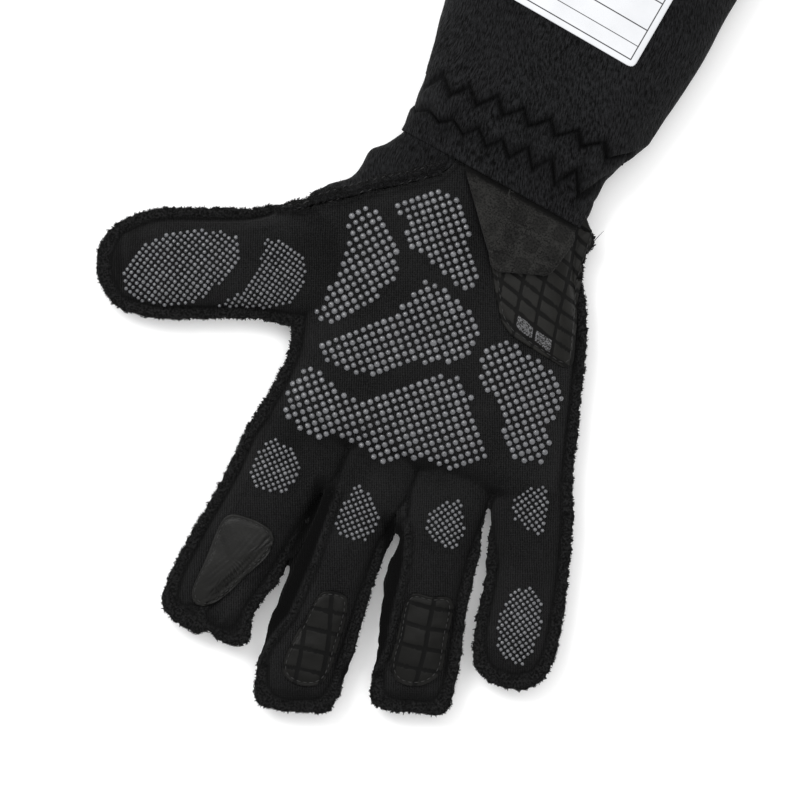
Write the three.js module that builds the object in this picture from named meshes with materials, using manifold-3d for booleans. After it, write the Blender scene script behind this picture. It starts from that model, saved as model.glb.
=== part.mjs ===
// Racing glove for the right hand, lying palm up on its back with the fingers towards -Y.
// Palm and back are knitted panels whose seams are turned outwards, so a two-ply welt runs round the
// whole outline. Three strips (forks) close the sides between the fingers, a flared cuff is gathered
// over an elastic at the wrist, and grip prints, leather tips and a heel patch lie on the palm.
// Millimetres, +Z up, +Y from the fingertips to the cuff's opening, +X towards the little finger.
import * as THREE from "three";
import { mergeVertices } from "three/addons/utils/BufferGeometryUtils.js";
import Module from "manifold-3d";

const wasm = await Module();
wasm.setup();

// Cloth and seams
const WALL = 1.5; // knitted panel
const CUFF_WALL = 1.8; // brushed knit of the cuff
const PLY = 1.2; // one ply of a welt
const GAP = 0.3; // between pieces that touch
const WELT = 4; // how far the seam allowance stands out
const SEAM_Z = 8; // height of the seam round the palm
const FORK_Z = 3; // height of the plain seam under the forks
const RIDGE = { height: 1.4, width: 4.2 }; // the welt that lies flat across the root of the thumb
const COLLAR_GAP = 0.6; // between the hand's wrist end and the cuff round it
const CORNER_STEP = 1e-3; // corners closer than this are one

// Cross-sections: above the seam a superellipse (2 is an ellipse, more is squarer), below it this
// profile, as shares of the half width and of the depth
const DIGIT_CROWN = { power: 2.5, steps: 7 };
const PALM_CROWN = { power: 2.8, steps: 13 };
const BELLY = [
  { across: -0.97, depth: 0.5 },
  { across: -0.8, depth: 1 },
  { across: 0.8, depth: 1 },
  { across: 0.97, depth: 0.5 },
];
const LEAST = { half: 0.2, depth: 0.4, rise: 0.6 }; // sizes that a shrinking section keeps
const DEEPEST_CREASE = 0.6; // share of the height above the seam
const TIP_ANGLES = [56, 30, 9];
const HOLLOW_TIP_ANGLES = [50, 18];
const TIP_SINK = { power: 3, floor: 0.9 }; // how a digit's top and underside meet at its tip
const INBOARD_LIFT = 0.35; // how far a seam that lies inboard stands up, share of its height

// Cutting solids: past every side of the glove, and past the edges that they cut
const SKY = 60;
const FIELD = 300;
const OVERRUN = 3;
const WRIST_OVERRUN = 12;
const PUFF_ROOM = 9; // over the cuff's wall, for its gathers

// The hand from the knuckles to the wrist: centre, turn about Z, half width, top and underside
const PALM = [
  { x: -5.0, y: -26, turn: 0, half: 54.5, top: 12.5, floor: 0 },
  { x: -5.3, y: -17, turn: 0, half: 51.6, top: 15.6, floor: 0 },
  { x: -6.2, y: 0, turn: 0, half: 48.7, top: 17.7, floor: 0 },
  { x: -9.0, y: 15, turn: 0, half: 48.4, top: 18.4, floor: 0 },
  { x: -14.2, y: 33, turn: 0, half: 49.5, top: 18.6, floor: 0 },
  { x: -18.7, y: 47, turn: 3, half: 50.2, top: 18.4, floor: 0 },
  { x: -16.3, y: 58, turn: 6, half: 44.0, top: 18.1, floor: 0 },
  { x: -13.3, y: 68, turn: 9, half: 39.1, top: 17.9, floor: 1.2 },
  { x: -10.6, y: 78, turn: 11, half: 34.4, top: 17.6, floor: 2.6 },
  { x: -9.4, y: 85.5, turn: 11, half: 33.6, top: 17.4, floor: 2.6 },
];
const COLLAR = 8; // row of PALM where the cuff's front edge lies

// Digits from the palm outwards: centre, half width, top, and how far inboard of the left side the
// palm's seam lies
const DIGITS = {
  thumb: {
    tip: { length: 18, square: 2.3, top: 12 },
    shaft: [
      { x: -46, y: 36.0, half: 18.5, top: 15.5, lean: 0 },
      { x: -68, y: 30.3, half: 19.6, top: 18, lean: 0 },
      { x: -82, y: 24.0, half: 15.4, top: 16.8, lean: 0 },
      { x: -96, y: 19.2, half: 15.2, top: 16, lean: 0 },
      { x: -111, y: 14.4, half: 15.1, top: 14.5, lean: 0 },
    ],
  },
  index: {
    tip: { length: 11, square: 3.2, top: 11 },
    shaft: [
      { x: -42.5, y: -20, half: 14.2, top: 12, lean: 0 },
      { x: -45.2, y: -36, half: 16.0, top: 14.8, lean: 0 },
      { x: -49.0, y: -50, half: 13.6, top: 14.3, lean: 0 },
      { x: -53.7, y: -71, half: 13.3, top: 13.8, lean: 0 },
      { x: -57.6, y: -90, half: 12.7, top: 12.6, lean: 0 },
    ],
  },
  middle: {
    tip: { length: 10, square: 3.8, top: 11 },
    shaft: [
      { x: -15.5, y: -20, half: 12.4, top: 13, lean: 0 },
      { x: -16.2, y: -37, half: 12.4, top: 15, lean: 0 },
      { x: -19.6, y: -51, half: 11.4, top: 14.6, lean: 3 },
      { x: -22.9, y: -70, half: 13.6, top: 14.2, lean: 6.8 },
      { x: -21.9, y: -95, half: 12.4, top: 13.4, lean: 2.6 },
      { x: -20.6, y: -107.5, half: 11.6, top: 12.4, lean: 0 },
    ],
  },
  ring: {
    tip: { length: 8.5, square: 4, top: 11 },
    shaft: [
      { x: 10.5, y: -20, half: 13.4, top: 13, lean: 0 },
      { x: 10.0, y: -34, half: 13.3, top: 15, lean: 0 },
      { x: 10.8, y: -50, half: 12.0, top: 14.6, lean: 1.5 },
      { x: 10.6, y: -66, half: 13.2, top: 14, lean: 5 },
      { x: 15.2, y: -84, half: 11.5, top: 13.2, lean: 1 },
      { x: 18.0, y: -96.5, half: 10.9, top: 12.2, lean: 0 },
    ],
  },
  little: {
    tip: { length: 12.5, square: 2.5, top: 10.5 },
    shaft: [
      { x: 34.6, y: -15, half: 9.8, top: 12, lean: 0 },
      { x: 37.4, y: -29, half: 12.4, top: 14.2, lean: 0 },
      { x: 43.8, y: -46, half: 10.3, top: 13.8, lean: 0 },
      { x: 47.9, y: -73, half: 10.6, top: 12.2, lean: 0 },
    ],
  },
};

// Creases pressed into the palm: the line they follow, their depth and half width
const CREASES = [
  { x1: -62, y1: 7, x2: -43, y2: -3, depth: 2.6, width: 6 }, // crotch of the thumb
  { x1: -59, y1: 12, x2: -58, y2: 42, depth: 1.8, width: 8 }, // root of the thumb
  { x1: -28, y1: 2, x2: 2, y2: 13, depth: 1.6, width: 12 }, // hollow of the palm
  { x1: -54, y1: -29, x2: 44, y2: -16, depth: 1.2, width: 6 }, // below the knuckles
  { x1: -64, y1: -99, x2: -43, y2: -79, depth: 2.6, width: 5 }, // collapsed tip of the index
  { x1: -34, y1: -100, x2: -22, y2: -88, depth: 1.2, width: 5 }, // side of the middle finger
];

// The cuff past its collar: centre, turn, half width and top
const CUFF = [
  { x: -8.1, y: 92, turn: 3.5, half: 33.7, top: 21 },
  { x: -4.9, y: 101, turn: 3.5, half: 36.2, top: 22 },
  { x: -2.8, y: 110, turn: 5, half: 39.4, top: 23 },
  { x: -0.7, y: 124, turn: 6, half: 41.7, top: 24 },
  { x: 1.7, y: 144, turn: 6, half: 44.2, top: 25 },
  { x: 3.7, y: 165, turn: 6, half: 45.7, top: 26 },
  { x: 7.0, y: 190, turn: 6, half: 48.0, top: 27 },
];

// Elastic gathers: two zigzag rows of stitching with the cloth puffed out beside them, then the
// plain gauntlet and its hem. Distance from the cuff's front edge, how far the cloth stands out,
// and the share of the zigzag's swing that the row follows
const TEETH = 17;
const SWING = 4.6;
const COLUMNS = 2 * TEETH;
const CUFF_ROWS = [
  { at: 0, lift: 0, swing: 0 },
  { at: 4, lift: 0.2, swing: 0 },
  { at: 7.5, lift: 1.4, swing: 0.5 },
  { at: 9.9, lift: 1.2, swing: 1 },
  { at: 11.5, lift: -0.2, swing: 1 },
  { at: 13.1, lift: 1.2, swing: 1 },
  { at: 18.1, lift: 1.8, swing: 1 },
  { at: 23.1, lift: 1.2, swing: 1 },
  { at: 24.8, lift: -0.2, swing: 1 },
  { at: 26.5, lift: 1.2, swing: 1 },
  { at: 30.5, lift: 1.3, swing: 0.5 },
  { at: 38, lift: 0, swing: 0 },
  { at: 66, lift: 0, swing: 0 },
  { at: 102.7, lift: 0, swing: 0 },
  { at: 103.5, lift: 0.5, swing: 0 },
  { at: 115, lift: 0.5, swing: 0 },
];
const PLAIN_ROW = 11; // the first row past the gathers

// Flat shapes in plan, each a closed curve through its points, [x, y]
const GRIPS = {
  grip_thumb_tip: [[-112, 25], [-100, 30], [-87.5, 31], [-85.5, 22], [-94, 6.5], [-104, 1],
    [-116, -0.5], [-122, 5], [-120, 16]],
  grip_thumb_root: [[-78, 34], [-64.5, 33], [-61, 21], [-64, 14.5], [-76, 8.5], [-88, 5.5],
    [-80.5, 14], [-78, 23]],
  grip_palm_thumb: [[-53, 52.5], [-46, 55.5], [-38, 49.5], [-31.8, 40], [-32.5, 31], [-40, 20],
    [-48, 12.5], [-54, 14.5], [-51.5, 27], [-51.5, 42]],
  grip_palm_wrist: [[-39.5, 60.5], [-25, 68.5], [-17.5, 67], [-10.5, 55], [-3, 40], [-5, 37.5],
    [-20, 43.5], [-29.5, 46.5], [-33.5, 53]],
  grip_palm_centre: [[-21, 38], [-10, 35], [1.5, 28.5], [2.5, 17], [-10, 10.5], [-22, 4.5],
    [-30, -1], [-45, 0], [-49, 4.5], [-34, 17], [-24.5, 28]],
  grip_palm_front: [[-51, -4.5], [-56, -16], [-51, -24], [-40, -27.5], [-31, -23.5], [-14, -29.5],
    [-7, -23.5], [9, -22.5], [18, -14.5], [10, -1], [0, 9], [-11, 4.5], [-22, -5], [-33, -10],
    [-43, -5.5]],
  grip_palm_side: [[10.5, 26], [18, 24.5], [33, 20], [38, 13.5], [36, 2], [38.5, -8.5], [33.5, -13],
    [26.5, -11.5], [18, 0.5], [8, 11], [5.5, 16]],
  grip_index: [[-55.5, -31.8], [-43, -36], [-42.5, -43], [-45, -48.5], [-53, -50], [-59, -47.5]],
  grip_middle: [[-21.5, -38], [-12, -43.5], [-10.8, -50], [-13, -56], [-22, -57], [-24.5, -53.5]],
  grip_ring: [[13.8, -31.8], [17.5, -38], [19, -45], [17, -49], [7, -47.5], [5, -40]],
  grip_little: [[40.5, -18.6], [43.5, -23], [45.5, -31], [44, -35], [34.5, -32.5], [32, -25],
    [35.5, -21]],
  grip_little_tip: [[42, -56], [48.5, -53.5], [52.5, -57], [55, -70], [53, -80], [47.5, -80.5],
    [42.5, -76.5], [39.8, -66]],
};
const TIP_PATCHES = {
  tip_patch_index: [[-62, -63.5], [-54, -60.8], [-45, -63], [-43.8, -70], [-49, -81], [-55, -91],
    [-60.5, -95.5], [-65, -92], [-64, -80]],
  tip_patch_middle: [[-21.5, -77.5], [-14.5, -76], [-12, -80], [-10.8, -93], [-11.8, -107],
    [-19, -111], [-26, -108.5], [-26.5, -98], [-24, -86]],
  tip_patch_ring: [[7.5, -69.5], [15, -67.3], [22, -66.3], [24.5, -78], [26, -91], [22, -97.5],
    [14.5, -99.5], [9.5, -95.5], [8, -84]],
};
// Straight-edged shapes in plan
const HEEL_PATCH = [[-3.5, 90], [-2.6, 52.6], [0.6, 46], [4.6, 38.2], [8.2, 31.8], [13, 28],
  [34, 22.8], [36.4, 24.6], [34, 36], [31, 52], [30, 90]];
const TAB = [[-23.5, 90], [-19.5, 77.5], [-1, 49.6], [1.8, 47.6], [19.4, 51.8], [25.6, 64], [25.5, 90]];
const WRIST_SEAM = [[-86, 50], [-77, 46.2], [-69.8, 47.2], [-61, 52.6], [-50.7, 59.7],
  [-39.8, 65.8], [-27.7, 73.4], [-24.6, 78], [-22, 92]];
const WRIST_SIDE = { left: -106, low: 70, high: 120 }; // the back panel's corner behind that seam
const NO_WELT = [[-88, 47.5], [-75, 48], [-50, 62], [-30, 80], [-30, 110], [-88, 110]]; // plain side

// Pads on the palm: how thick they are, and how far off the knit
const GRIP_PAD = 0.5;
const LEATHER = 0.8;
const HEEL_LEATHER = 1.0;
const TAB_CLOTH = 1.1;
const PAD_FLOOR = 10; // pads end above this height
const LABEL = { x: 4.6, y: 154, wide: 50, long: 40, turn: -12, thick: 0.5, floor: 12 };
const LABEL_CORNER = 2.5;
const INDEX_NOTCH = { x: -55.2, y: -106.6, radius: 3.6 };

const radians = (degrees) => (degrees * Math.PI) / 180;
const power = (value, n) => Math.sign(value) * Math.abs(value) ** (2 / n);

// Solids

function solidFrom(vertices, triangles) {
  const volume = triangles.reduce((sum, [a, b, c]) => {
    const cross = new THREE.Vector3().crossVectors(vertices[b], vertices[c]);
    return sum + vertices[a].dot(cross) / 6;
  }, 0);
  const facing = volume < 0 ? triangles.map(([a, b, c]) => [a, c, b]) : triangles;
  return new wasm.Manifold(
    new wasm.Mesh({
      numProp: 3,
      vertProperties: new Float32Array(vertices.flatMap((v) => v.toArray())),
      triVerts: new Uint32Array(facing.flat()),
    }),
  );
}

// A closed skin through rings of equal length, with a fan over each end.
function loft(rings) {
  const count = rings[0].length;
  const vertices = rings.flat();
  const triangles = [];
  for (let r = 0; r + 1 < rings.length; r++)
    for (let i = 0; i < count; i++) {
      const a = r * count + i;
      const b = r * count + ((i + 1) % count);
      triangles.push([a, b, b + count], [a, b + count, a + count]);
    }
  [0, rings.length - 1].forEach((r) => {
    const centre = new THREE.Vector3();
    rings[r].forEach((v) => centre.addScaledVector(v, 1 / count));
    vertices.push(centre);
    const hub = vertices.length - 1;
    for (let i = 0; i < count; i++) {
      const a = r * count + i;
      const b = r * count + ((i + 1) % count);
      triangles.push(r ? [a, b, hub] : [b, a, hub]);
    }
  });
  return solidFrom(vertices, triangles);
}

function solidFromGeometry(geometry) {
  geometry.deleteAttribute("normal");
  geometry.deleteAttribute("uv");
  const merged = mergeVertices(geometry, CORNER_STEP);
  return new wasm.Manifold(
    new wasm.Mesh({
      numProp: 3,
      vertProperties: new Float32Array(merged.attributes.position.array),
      triVerts: new Uint32Array(merged.index.array),
    }),
  );
}

// An upright prism over a THREE.Shape, from low to high.
function prism(shape, low = -1, high = SKY) {
  const geometry = new THREE.ExtrudeGeometry(shape, { depth: high - low, bevelEnabled: false });
  return solidFromGeometry(geometry.translate(0, 0, low));
}

const straightShape = (points) => new THREE.Shape(points.map(([x, y]) => new THREE.Vector2(x, y)));

const EVERYWHERE = straightShape([[-FIELD, -FIELD], [FIELD, -FIELD], [FIELD, FIELD], [-FIELD, FIELD]]);

function curvedShape(points, steps) {
  const curve = new THREE.CatmullRomCurve3(
    points.map(([x, y]) => new THREE.Vector3(x, y, 0)),
    true,
    "centripetal",
  );
  return new THREE.Shape(curve.getPoints(steps).slice(0, -1).map((p) => new THREE.Vector2(p.x, p.y)));
}

const unite = (solids) => solids.reduce((sum, solid) => sum.add(solid));

// The largest body of a cut, without the crumbs beside it.
function mainBody(solid) {
  return solid.decompose().reduce((best, body) => (body.volume() > best.volume() ? body : best));
}

// Cross-sections

// Depth of the creases at a point in plan.
function creaseDepth(x, y) {
  return CREASES.reduce((depth, c) => {
    const along = new THREE.Vector2(c.x2 - c.x1, c.y2 - c.y1);
    const from = new THREE.Vector2(x - c.x1, y - c.y1);
    const share = THREE.MathUtils.clamp(from.dot(along) / along.lengthSq(), 0, 1);
    const away = from.addScaledVector(along, -share).length() / c.width;
    return depth + c.depth * Math.exp(-away * away);
  }, 0);
}

// A ring of the glove's body at a station, grown by a distance: crowned above the seam, flat below.
function bodyRing(station, crown, grow) {
  const { x, y, heading, top, floor } = station;
  const half = Math.max(station.half + grow, LEAST.half);
  const low = Math.min(floor - grow, SEAM_Z - LEAST.depth);
  const place = (across, z) =>
    new THREE.Vector3(x + across * Math.cos(heading), y + across * Math.sin(heading), z);
  const ring = BELLY.map((p) => place(half * p.across, SEAM_Z - (SEAM_Z - low) * p.depth));
  ring.push(place(half, SEAM_Z - GAP / 2), place(half, SEAM_Z + GAP / 2));
  for (let i = 1; i < crown.steps; i++) {
    const angle = (Math.PI * i) / crown.steps;
    const share = power(Math.cos(angle), crown.power);
    const spot = place(station.half * share, 0);
    const dent = Math.min(creaseDepth(spot.x, spot.y), DEEPEST_CREASE * (top - SEAM_Z));
    const rise = Math.max(top + grow - SEAM_Z, LEAST.rise) - dent;
    ring.push(place(half * share, SEAM_Z + rise * power(Math.sin(angle), crown.power)));
  }
  ring.push(place(-half, SEAM_Z + GAP / 2), place(-half, SEAM_Z - GAP / 2));
  return ring;
}

// Stations of a digit with its heading, and then of its rounded tip.
function digitStations(digit, reach) {
  const angles = reach < 0 ? HOLLOW_TIP_ANGLES : TIP_ANGLES;
  const { shaft, tip } = digit;
  const stations = shaft.map((row, i) => {
    const before = shaft[Math.max(i - 1, 0)];
    const after = shaft[Math.min(i + 1, shaft.length - 1)];
    const aim = Math.atan2(after.y - before.y, after.x - before.x);
    const back = i ? 0 : reach;
    const [x, y] = [row.x - back * Math.cos(aim), row.y - back * Math.sin(aim)];
    return { ...row, x, y, aim, heading: aim + Math.PI / 2, floor: 0 };
  });
  const last = stations[stations.length - 1];
  angles.forEach((degrees) => {
    const angle = radians(degrees);
    const out = (tip.length + reach) * power(Math.cos(angle), tip.square);
    const narrow = power(Math.sin(angle), tip.square);
    const sink = power(Math.sin(angle), TIP_SINK.power);
    stations.push({
      ...last,
      x: last.x + out * Math.cos(last.aim),
      y: last.y + out * Math.sin(last.aim),
      half: (last.half + reach) * narrow - reach,
      top: SEAM_Z + (tip.top - SEAM_Z + (last.top - tip.top) * narrow) * sink,
      floor: SEAM_Z * (1 - Math.min(sink / TIP_SINK.floor, 1)),
    });
  });
  return stations;
}

const palmStations = PALM.map((row) => ({ ...row, heading: radians(-row.turn), lean: 0 }));
const pushedOn = (station, distance) => ({
  ...station,
  x: station.x - distance * Math.sin(station.heading),
  y: station.y + distance * Math.cos(station.heading),
});
const digitList = Object.values(DIGITS);

// The whole hand as one solid, grown by a distance, with the wrist end pushed out if asked.
function handSolid(grow, wristReach = 0) {
  const palm = [pushedOn(palmStations[0], -grow), ...palmStations.slice(1)];
  if (wristReach) palm.push(pushedOn(palm[palm.length - 1], wristReach));
  const body = loft(palm.map((s) => bodyRing(s, PALM_CROWN, grow)));
  const digits = digitList.map((digit) =>
    loft(digitStations(digit, grow).map((s) => bodyRing(s, DIGIT_CROWN, grow))),
  );
  return unite([body, ...digits]);
}

// Where the palm's seam meets the left side of a section, for a seam that lies inboard.
function leftSeam(station) {
  const across = station.half - station.lean;
  const share = (1 - (across / station.half) ** DIGIT_CROWN.power) ** (1 / DIGIT_CROWN.power);
  return { across: -across, z: SEAM_Z + (station.top - SEAM_Z) * (station.lean ? share : 0) };
}

// A band across a section that follows both seams, from one height offset to another.
function seamRing(station, width, low, high) {
  const half = Math.max(station.half, LEAST.rise);
  const left = leftSeam({ ...station, half });
  const outer = half + width;
  const spine = [
    [Math.max(left.across - width, -outer), left.z + INBOARD_LIFT * (left.z - SEAM_Z)],
    [left.across, left.z],
    [Math.max(half - PLY, outer / 3), SEAM_Z],
    [outer, SEAM_Z],
  ];
  const { x, y, heading } = station;
  const place = ([across, z], lift) =>
    new THREE.Vector3(x + across * Math.cos(heading), y + across * Math.sin(heading), z + lift);
  return [...spine.map((p) => place(p, low)), ...spine.reverse().map((p) => place(p, high))];
}

// Such a band through the palm and all digits.
function seamBand(width, low, high) {
  const wrist = pushedOn(palmStations[palmStations.length - 1], width);
  const rows = [[...palmStations, wrist], ...digitList.map((digit) => digitStations(digit, width))];
  return unite(rows.map((stations) => loft(stations.map((s) => seamRing(s, width, low, high)))));
}

// A strip in plan along a line, between two distances to its left.
function stripAlong(points, near, far) {
  const offset = (distance) =>
    points.map(([x, y], i) => {
      const [ax, ay] = points[Math.max(i - 1, 0)];
      const [bx, by] = points[Math.min(i + 1, points.length - 1)];
      const length = Math.hypot(bx - ax, by - ay);
      return [x - (distance * (by - ay)) / length, y + (distance * (bx - ax)) / length];
    });
  return prism(straightShape([...offset(near), ...offset(far).reverse()]));
}

// The cuff

const collarStations = palmStations.slice(COLLAR).map((s) => ({
  ...s,
  half: s.half + COLLAR_GAP,
  top: s.top + COLLAR_GAP,
  floor: s.floor - COLLAR_GAP,
}));
const cuffStations = [
  ...collarStations,
  ...CUFF.map((row) => ({ ...row, heading: radians(-row.turn), floor: CUFF_WALL })),
].map((s) => ({ ...s, lean: 0 }));

// Equal steps round a ring, so that the teeth of the zigzag are equally long.
function evenRing(ring, count) {
  const lengths = ring.map((p, i) => p.distanceTo(ring[(i + 1) % ring.length]));
  const total = lengths.reduce((a, b) => a + b);
  const points = [];
  let edge = 0;
  let passed = 0;
  for (let i = 0; i < count; i++) {
    const target = (total * i) / count;
    while (passed + lengths[edge] < target) passed += lengths[edge++];
    const share = (target - passed) / lengths[edge];
    points.push(ring[edge].clone().lerp(ring[(edge + 1) % ring.length], share));
  }
  return points;
}

const rowLengths = cuffStations
  .slice(1)
  .map((s, i) => Math.hypot(s.x - cuffStations[i].x, s.y - cuffStations[i].y));

// The cuff's inner wall at a distance from its front edge.
function cuffStation(distance) {
  let row = 0;
  let left = distance;
  while (row < rowLengths.length - 1 && left > rowLengths[row]) left -= rowLengths[row++];
  const share = left / rowLengths[row];
  const station = {};
  ["x", "y", "half", "top", "floor", "heading"].forEach((key) => {
    station[key] = THREE.MathUtils.lerp(cuffStations[row][key], cuffStations[row + 1][key], share);
  });
  return station;
}

// A row of the cuff's outer face, grown by a distance, swinging with the zigzag.
function cuffRow({ at, lift, swing }, grow = 0) {
  const ring = [];
  for (let i = 0; i < COLUMNS; i++) {
    const station = cuffStation(at + (i % 2 ? 0.5 : -0.5) * SWING * swing);
    const point = evenRing(bodyRing(station, PALM_CROWN, CUFF_WALL + lift + grow), COLUMNS)[i];
    point.z = Math.max(point.z, 0);
    ring.push(point);
  }
  return ring;
}

function cuffSolid() {
  const last = CUFF_ROWS[CUFF_ROWS.length - 1].at;
  const distances = [-OVERRUN, 0];
  rowLengths.forEach((length) => distances.push(distances[distances.length - 1] + length));
  distances[distances.length - 1] = last + OVERRUN;
  const inner = distances.map((distance) => bodyRing(cuffStation(distance), PALM_CROWN, 0));
  return loft(CUFF_ROWS.map((row) => cuffRow(row))).subtract(loft(inner));
}

// Building the pieces

const outline = handSolid(0);
const hollow = handSolid(-WALL, WRIST_OVERRUN);
const cuff = cuffSolid();
const cuffEnvelope = loft(
  [pushedOn(cuffStations[0], -GAP), ...cuffStations.slice(1, 4)].map((s) =>
    bodyRing(s, PALM_CROWN, CUFF_WALL + PUFF_ROOM),
  ),
);

// Each gap between two fingers takes one fork, down to a little before the shorter fingertip.
const FORKS = [
  { name: "fork_index_middle", left: "index", right: "middle" },
  { name: "fork_middle_ring", left: "middle", right: "ring" },
  { name: "fork_ring_little", left: "ring", right: "little" },
];
const FORK_END = 1; // how far past the last full station a fork reaches
function forkZone({ left, right }, low, margin) {
  const line = (digit) => {
    const stations = digitStations(digit, 0).slice(0, digit.shaft.length);
    const last = stations[stations.length - 1];
    const tip = FORK_END + margin;
    return [
      ...stations.map((s) => [s.x, s.y]),
      [last.x + tip * Math.cos(last.aim), last.y + tip * Math.sin(last.aim)],
    ];
  };
  const outer = [...line(DIGITS[left]), ...line(DIGITS[right]).reverse()];
  return prism(straightShape(outer), low, SKY);
}

const topWelt = seamBand(WELT, -PLY - GAP / 2, PLY + GAP / 2);
const wristRidge = stripAlong(WRIST_SEAM, -PLY, RIDGE.width)
  .intersect(handSolid(RIDGE.height))
  .intersect(prism(EVERYWHERE, SEAM_Z - PLY));
const sideWelt = topWelt.subtract(prism(straightShape(NO_WELT)));
const welts = sideWelt.add(wristRidge).subtract(cuffEnvelope);
const notch = new THREE.Shape().absarc(
  INDEX_NOTCH.x,
  INDEX_NOTCH.y,
  INDEX_NOTCH.radius,
  0,
  2 * Math.PI,
);
const shell = outline
  .add(welts)
  .subtract(hollow)
  .subtract(prism(notch))
  .intersect(prism(EVERYWHERE, 0));

// Over the root of the thumb the back panel comes up to a seam that crosses the palm side.
const wristSide = (margin) => {
  const { left, low, high } = WRIST_SIDE;
  const right = WRIST_SEAM[WRIST_SEAM.length - 1][0];
  const side = prism(straightShape([...WRIST_SEAM, [right, high], [left, high], [left, low]]));
  const edge = stripAlong(WRIST_SEAM, -Math.abs(margin), Math.abs(margin));
  return margin > 0 ? side.add(edge) : side.subtract(edge);
};
const aboveSeam = (lift) => seamBand(WELT + 2 * GAP, lift, SKY - SEAM_Z);
const palmPanel = shell.intersect(aboveSeam(GAP / 2).subtract(wristSide(GAP / 2)));
const underside = shell.subtract(aboveSeam(-GAP / 2).subtract(wristSide(-GAP / 2)));
const forks = FORKS.map((fork) => ({
  name: fork.name,
  solid: underside.intersect(forkZone(fork, FORK_Z + GAP / 2, 0)),
}));
const forkRoom = unite(FORKS.map((fork) => forkZone(fork, FORK_Z - GAP / 2, GAP)));
const backPanel = underside.subtract(forkRoom);

// Pads that follow the palm's surface, from one distance off it to another.
const padLayer = (from, thick) => handSolid(from + thick).subtract(handSolid(from));
const above = prism(EVERYWHERE, PAD_FLOOR);
const gripLayer = padLayer(GAP, GRIP_PAD).intersect(above);
const tipLayer = padLayer(GAP, LEATHER).intersect(above);
const heelLayer = padLayer(GAP, HEEL_LEATHER).intersect(above).subtract(cuffEnvelope);
const tabLayer = padLayer(2 * GAP + HEEL_LEATHER, TAB_CLOTH).intersect(above).subtract(cuffEnvelope);

function labelSolid() {
  const { x, y, wide, long, turn, thick, floor } = LABEL;
  const corner = LABEL_CORNER;
  const shape = new THREE.Shape();
  const [w, l] = [wide / 2, long / 2];
  [[w, l, 0], [-w, l, 90], [-w, -l, 180], [w, -l, 270]].forEach(([cx, cy, start]) => {
    const middle = [cx - Math.sign(cx) * corner, cy - Math.sign(cy) * corner];
    shape.absarc(...middle, corner, radians(start), radians(start + 90), false);
  });
  const plan = solidFromGeometry(
    new THREE.ExtrudeGeometry(shape, { depth: SKY, bevelEnabled: false, curveSegments: 4 })
      .rotateZ(radians(turn))
      .translate(x, y, floor),
  );
  const rings = (grow) => CUFF_ROWS.slice(PLAIN_ROW).map((row) => cuffRow({ ...row, lift: 0 }, grow));
  return loft(rings(GAP + thick)).subtract(loft(rings(GAP))).intersect(plan);
}

// Materials, with the colours of the photograph
const MATERIALS = {
  knit: new THREE.MeshStandardMaterial({ color: 0x1c1c1c, roughness: 0.95, metalness: 0 }),
  brushed: new THREE.MeshStandardMaterial({ color: 0x1e1f22, roughness: 0.95, metalness: 0 }),
  silicone: new THREE.MeshStandardMaterial({ color: 0x6b6d72, roughness: 0.35, metalness: 0 }),
  leather: new THREE.MeshStandardMaterial({ color: 0x2e2d2c, roughness: 0.5, metalness: 0 }),
  printed: new THREE.MeshStandardMaterial({ color: 0x2a2a29, roughness: 0.45, metalness: 0 }),
  tabCloth: new THREE.MeshStandardMaterial({ color: 0x262526, roughness: 0.85, metalness: 0 }),
  label: new THREE.MeshStandardMaterial({ color: 0xe9ebf0, roughness: 0.6, metalness: 0 }),
};

const glove = new THREE.Group();

function addPiece(name, solid, material) {
  const mesh = mainBody(solid).getMesh();
  const positions = new Float32Array(mesh.numVert * 3);
  for (let i = 0; i < mesh.numVert; i++)
    positions.set(mesh.vertProperties.subarray(i * mesh.numProp, i * mesh.numProp + 3), i * 3);
  const geometry = new THREE.BufferGeometry();
  geometry.setAttribute("position", new THREE.BufferAttribute(positions, 3));
  geometry.setIndex(new THREE.BufferAttribute(mesh.triVerts, 1));
  geometry.computeVertexNormals();
  const piece = new THREE.Mesh(geometry, material);
  piece.name = name;
  glove.add(piece);
}

addPiece("palm_panel", palmPanel, MATERIALS.knit);
addPiece("back_panel", backPanel, MATERIALS.knit);
forks.forEach((fork) => addPiece(fork.name, fork.solid, MATERIALS.knit));
addPiece("cuff", cuff, MATERIALS.brushed);
Object.entries(GRIPS).forEach(([name, points]) =>
  addPiece(name, gripLayer.intersect(prism(curvedShape(points, 2 * points.length))), MATERIALS.silicone),
);
Object.entries(TIP_PATCHES).forEach(([name, points]) => {
  const material = name === "tip_patch_index" ? MATERIALS.leather : MATERIALS.printed;
  addPiece(name, tipLayer.intersect(prism(curvedShape(points, 2 * points.length))), material);
});
addPiece("heel_patch", heelLayer.intersect(prism(straightShape(HEEL_PATCH))), MATERIALS.printed);
addPiece("wrist_tab", tabLayer.intersect(prism(straightShape(TAB))), MATERIALS.tabCloth);
addPiece("cuff_label", labelSolid(), MATERIALS.label);

// The origin is the middle of the footprint, on the surface that the glove lies on.
const box = new THREE.Box3().setFromObject(glove);
const middle = box.getCenter(new THREE.Vector3());
glove.position.set(-middle.x, -middle.y, -box.min.z);

export default glove;
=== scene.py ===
"""Racing glove for the right hand, lying palm up: knit, cuff, grip prints, leather and stitches.

Sizes in the tables are millimetres on the pattern, as in the part's source: X towards the little
finger, Y from the fingertips to the cuff. Everything is turned into metres where a mesh is made.
"""

import math

import bpy
import numpy as np
from bpy.props import FloatProperty, FloatVectorProperty, IntProperty, PointerProperty
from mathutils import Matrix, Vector
from mathutils.bvhtree import BVHTree
from mathutils.kdtree import KDTree


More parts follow.
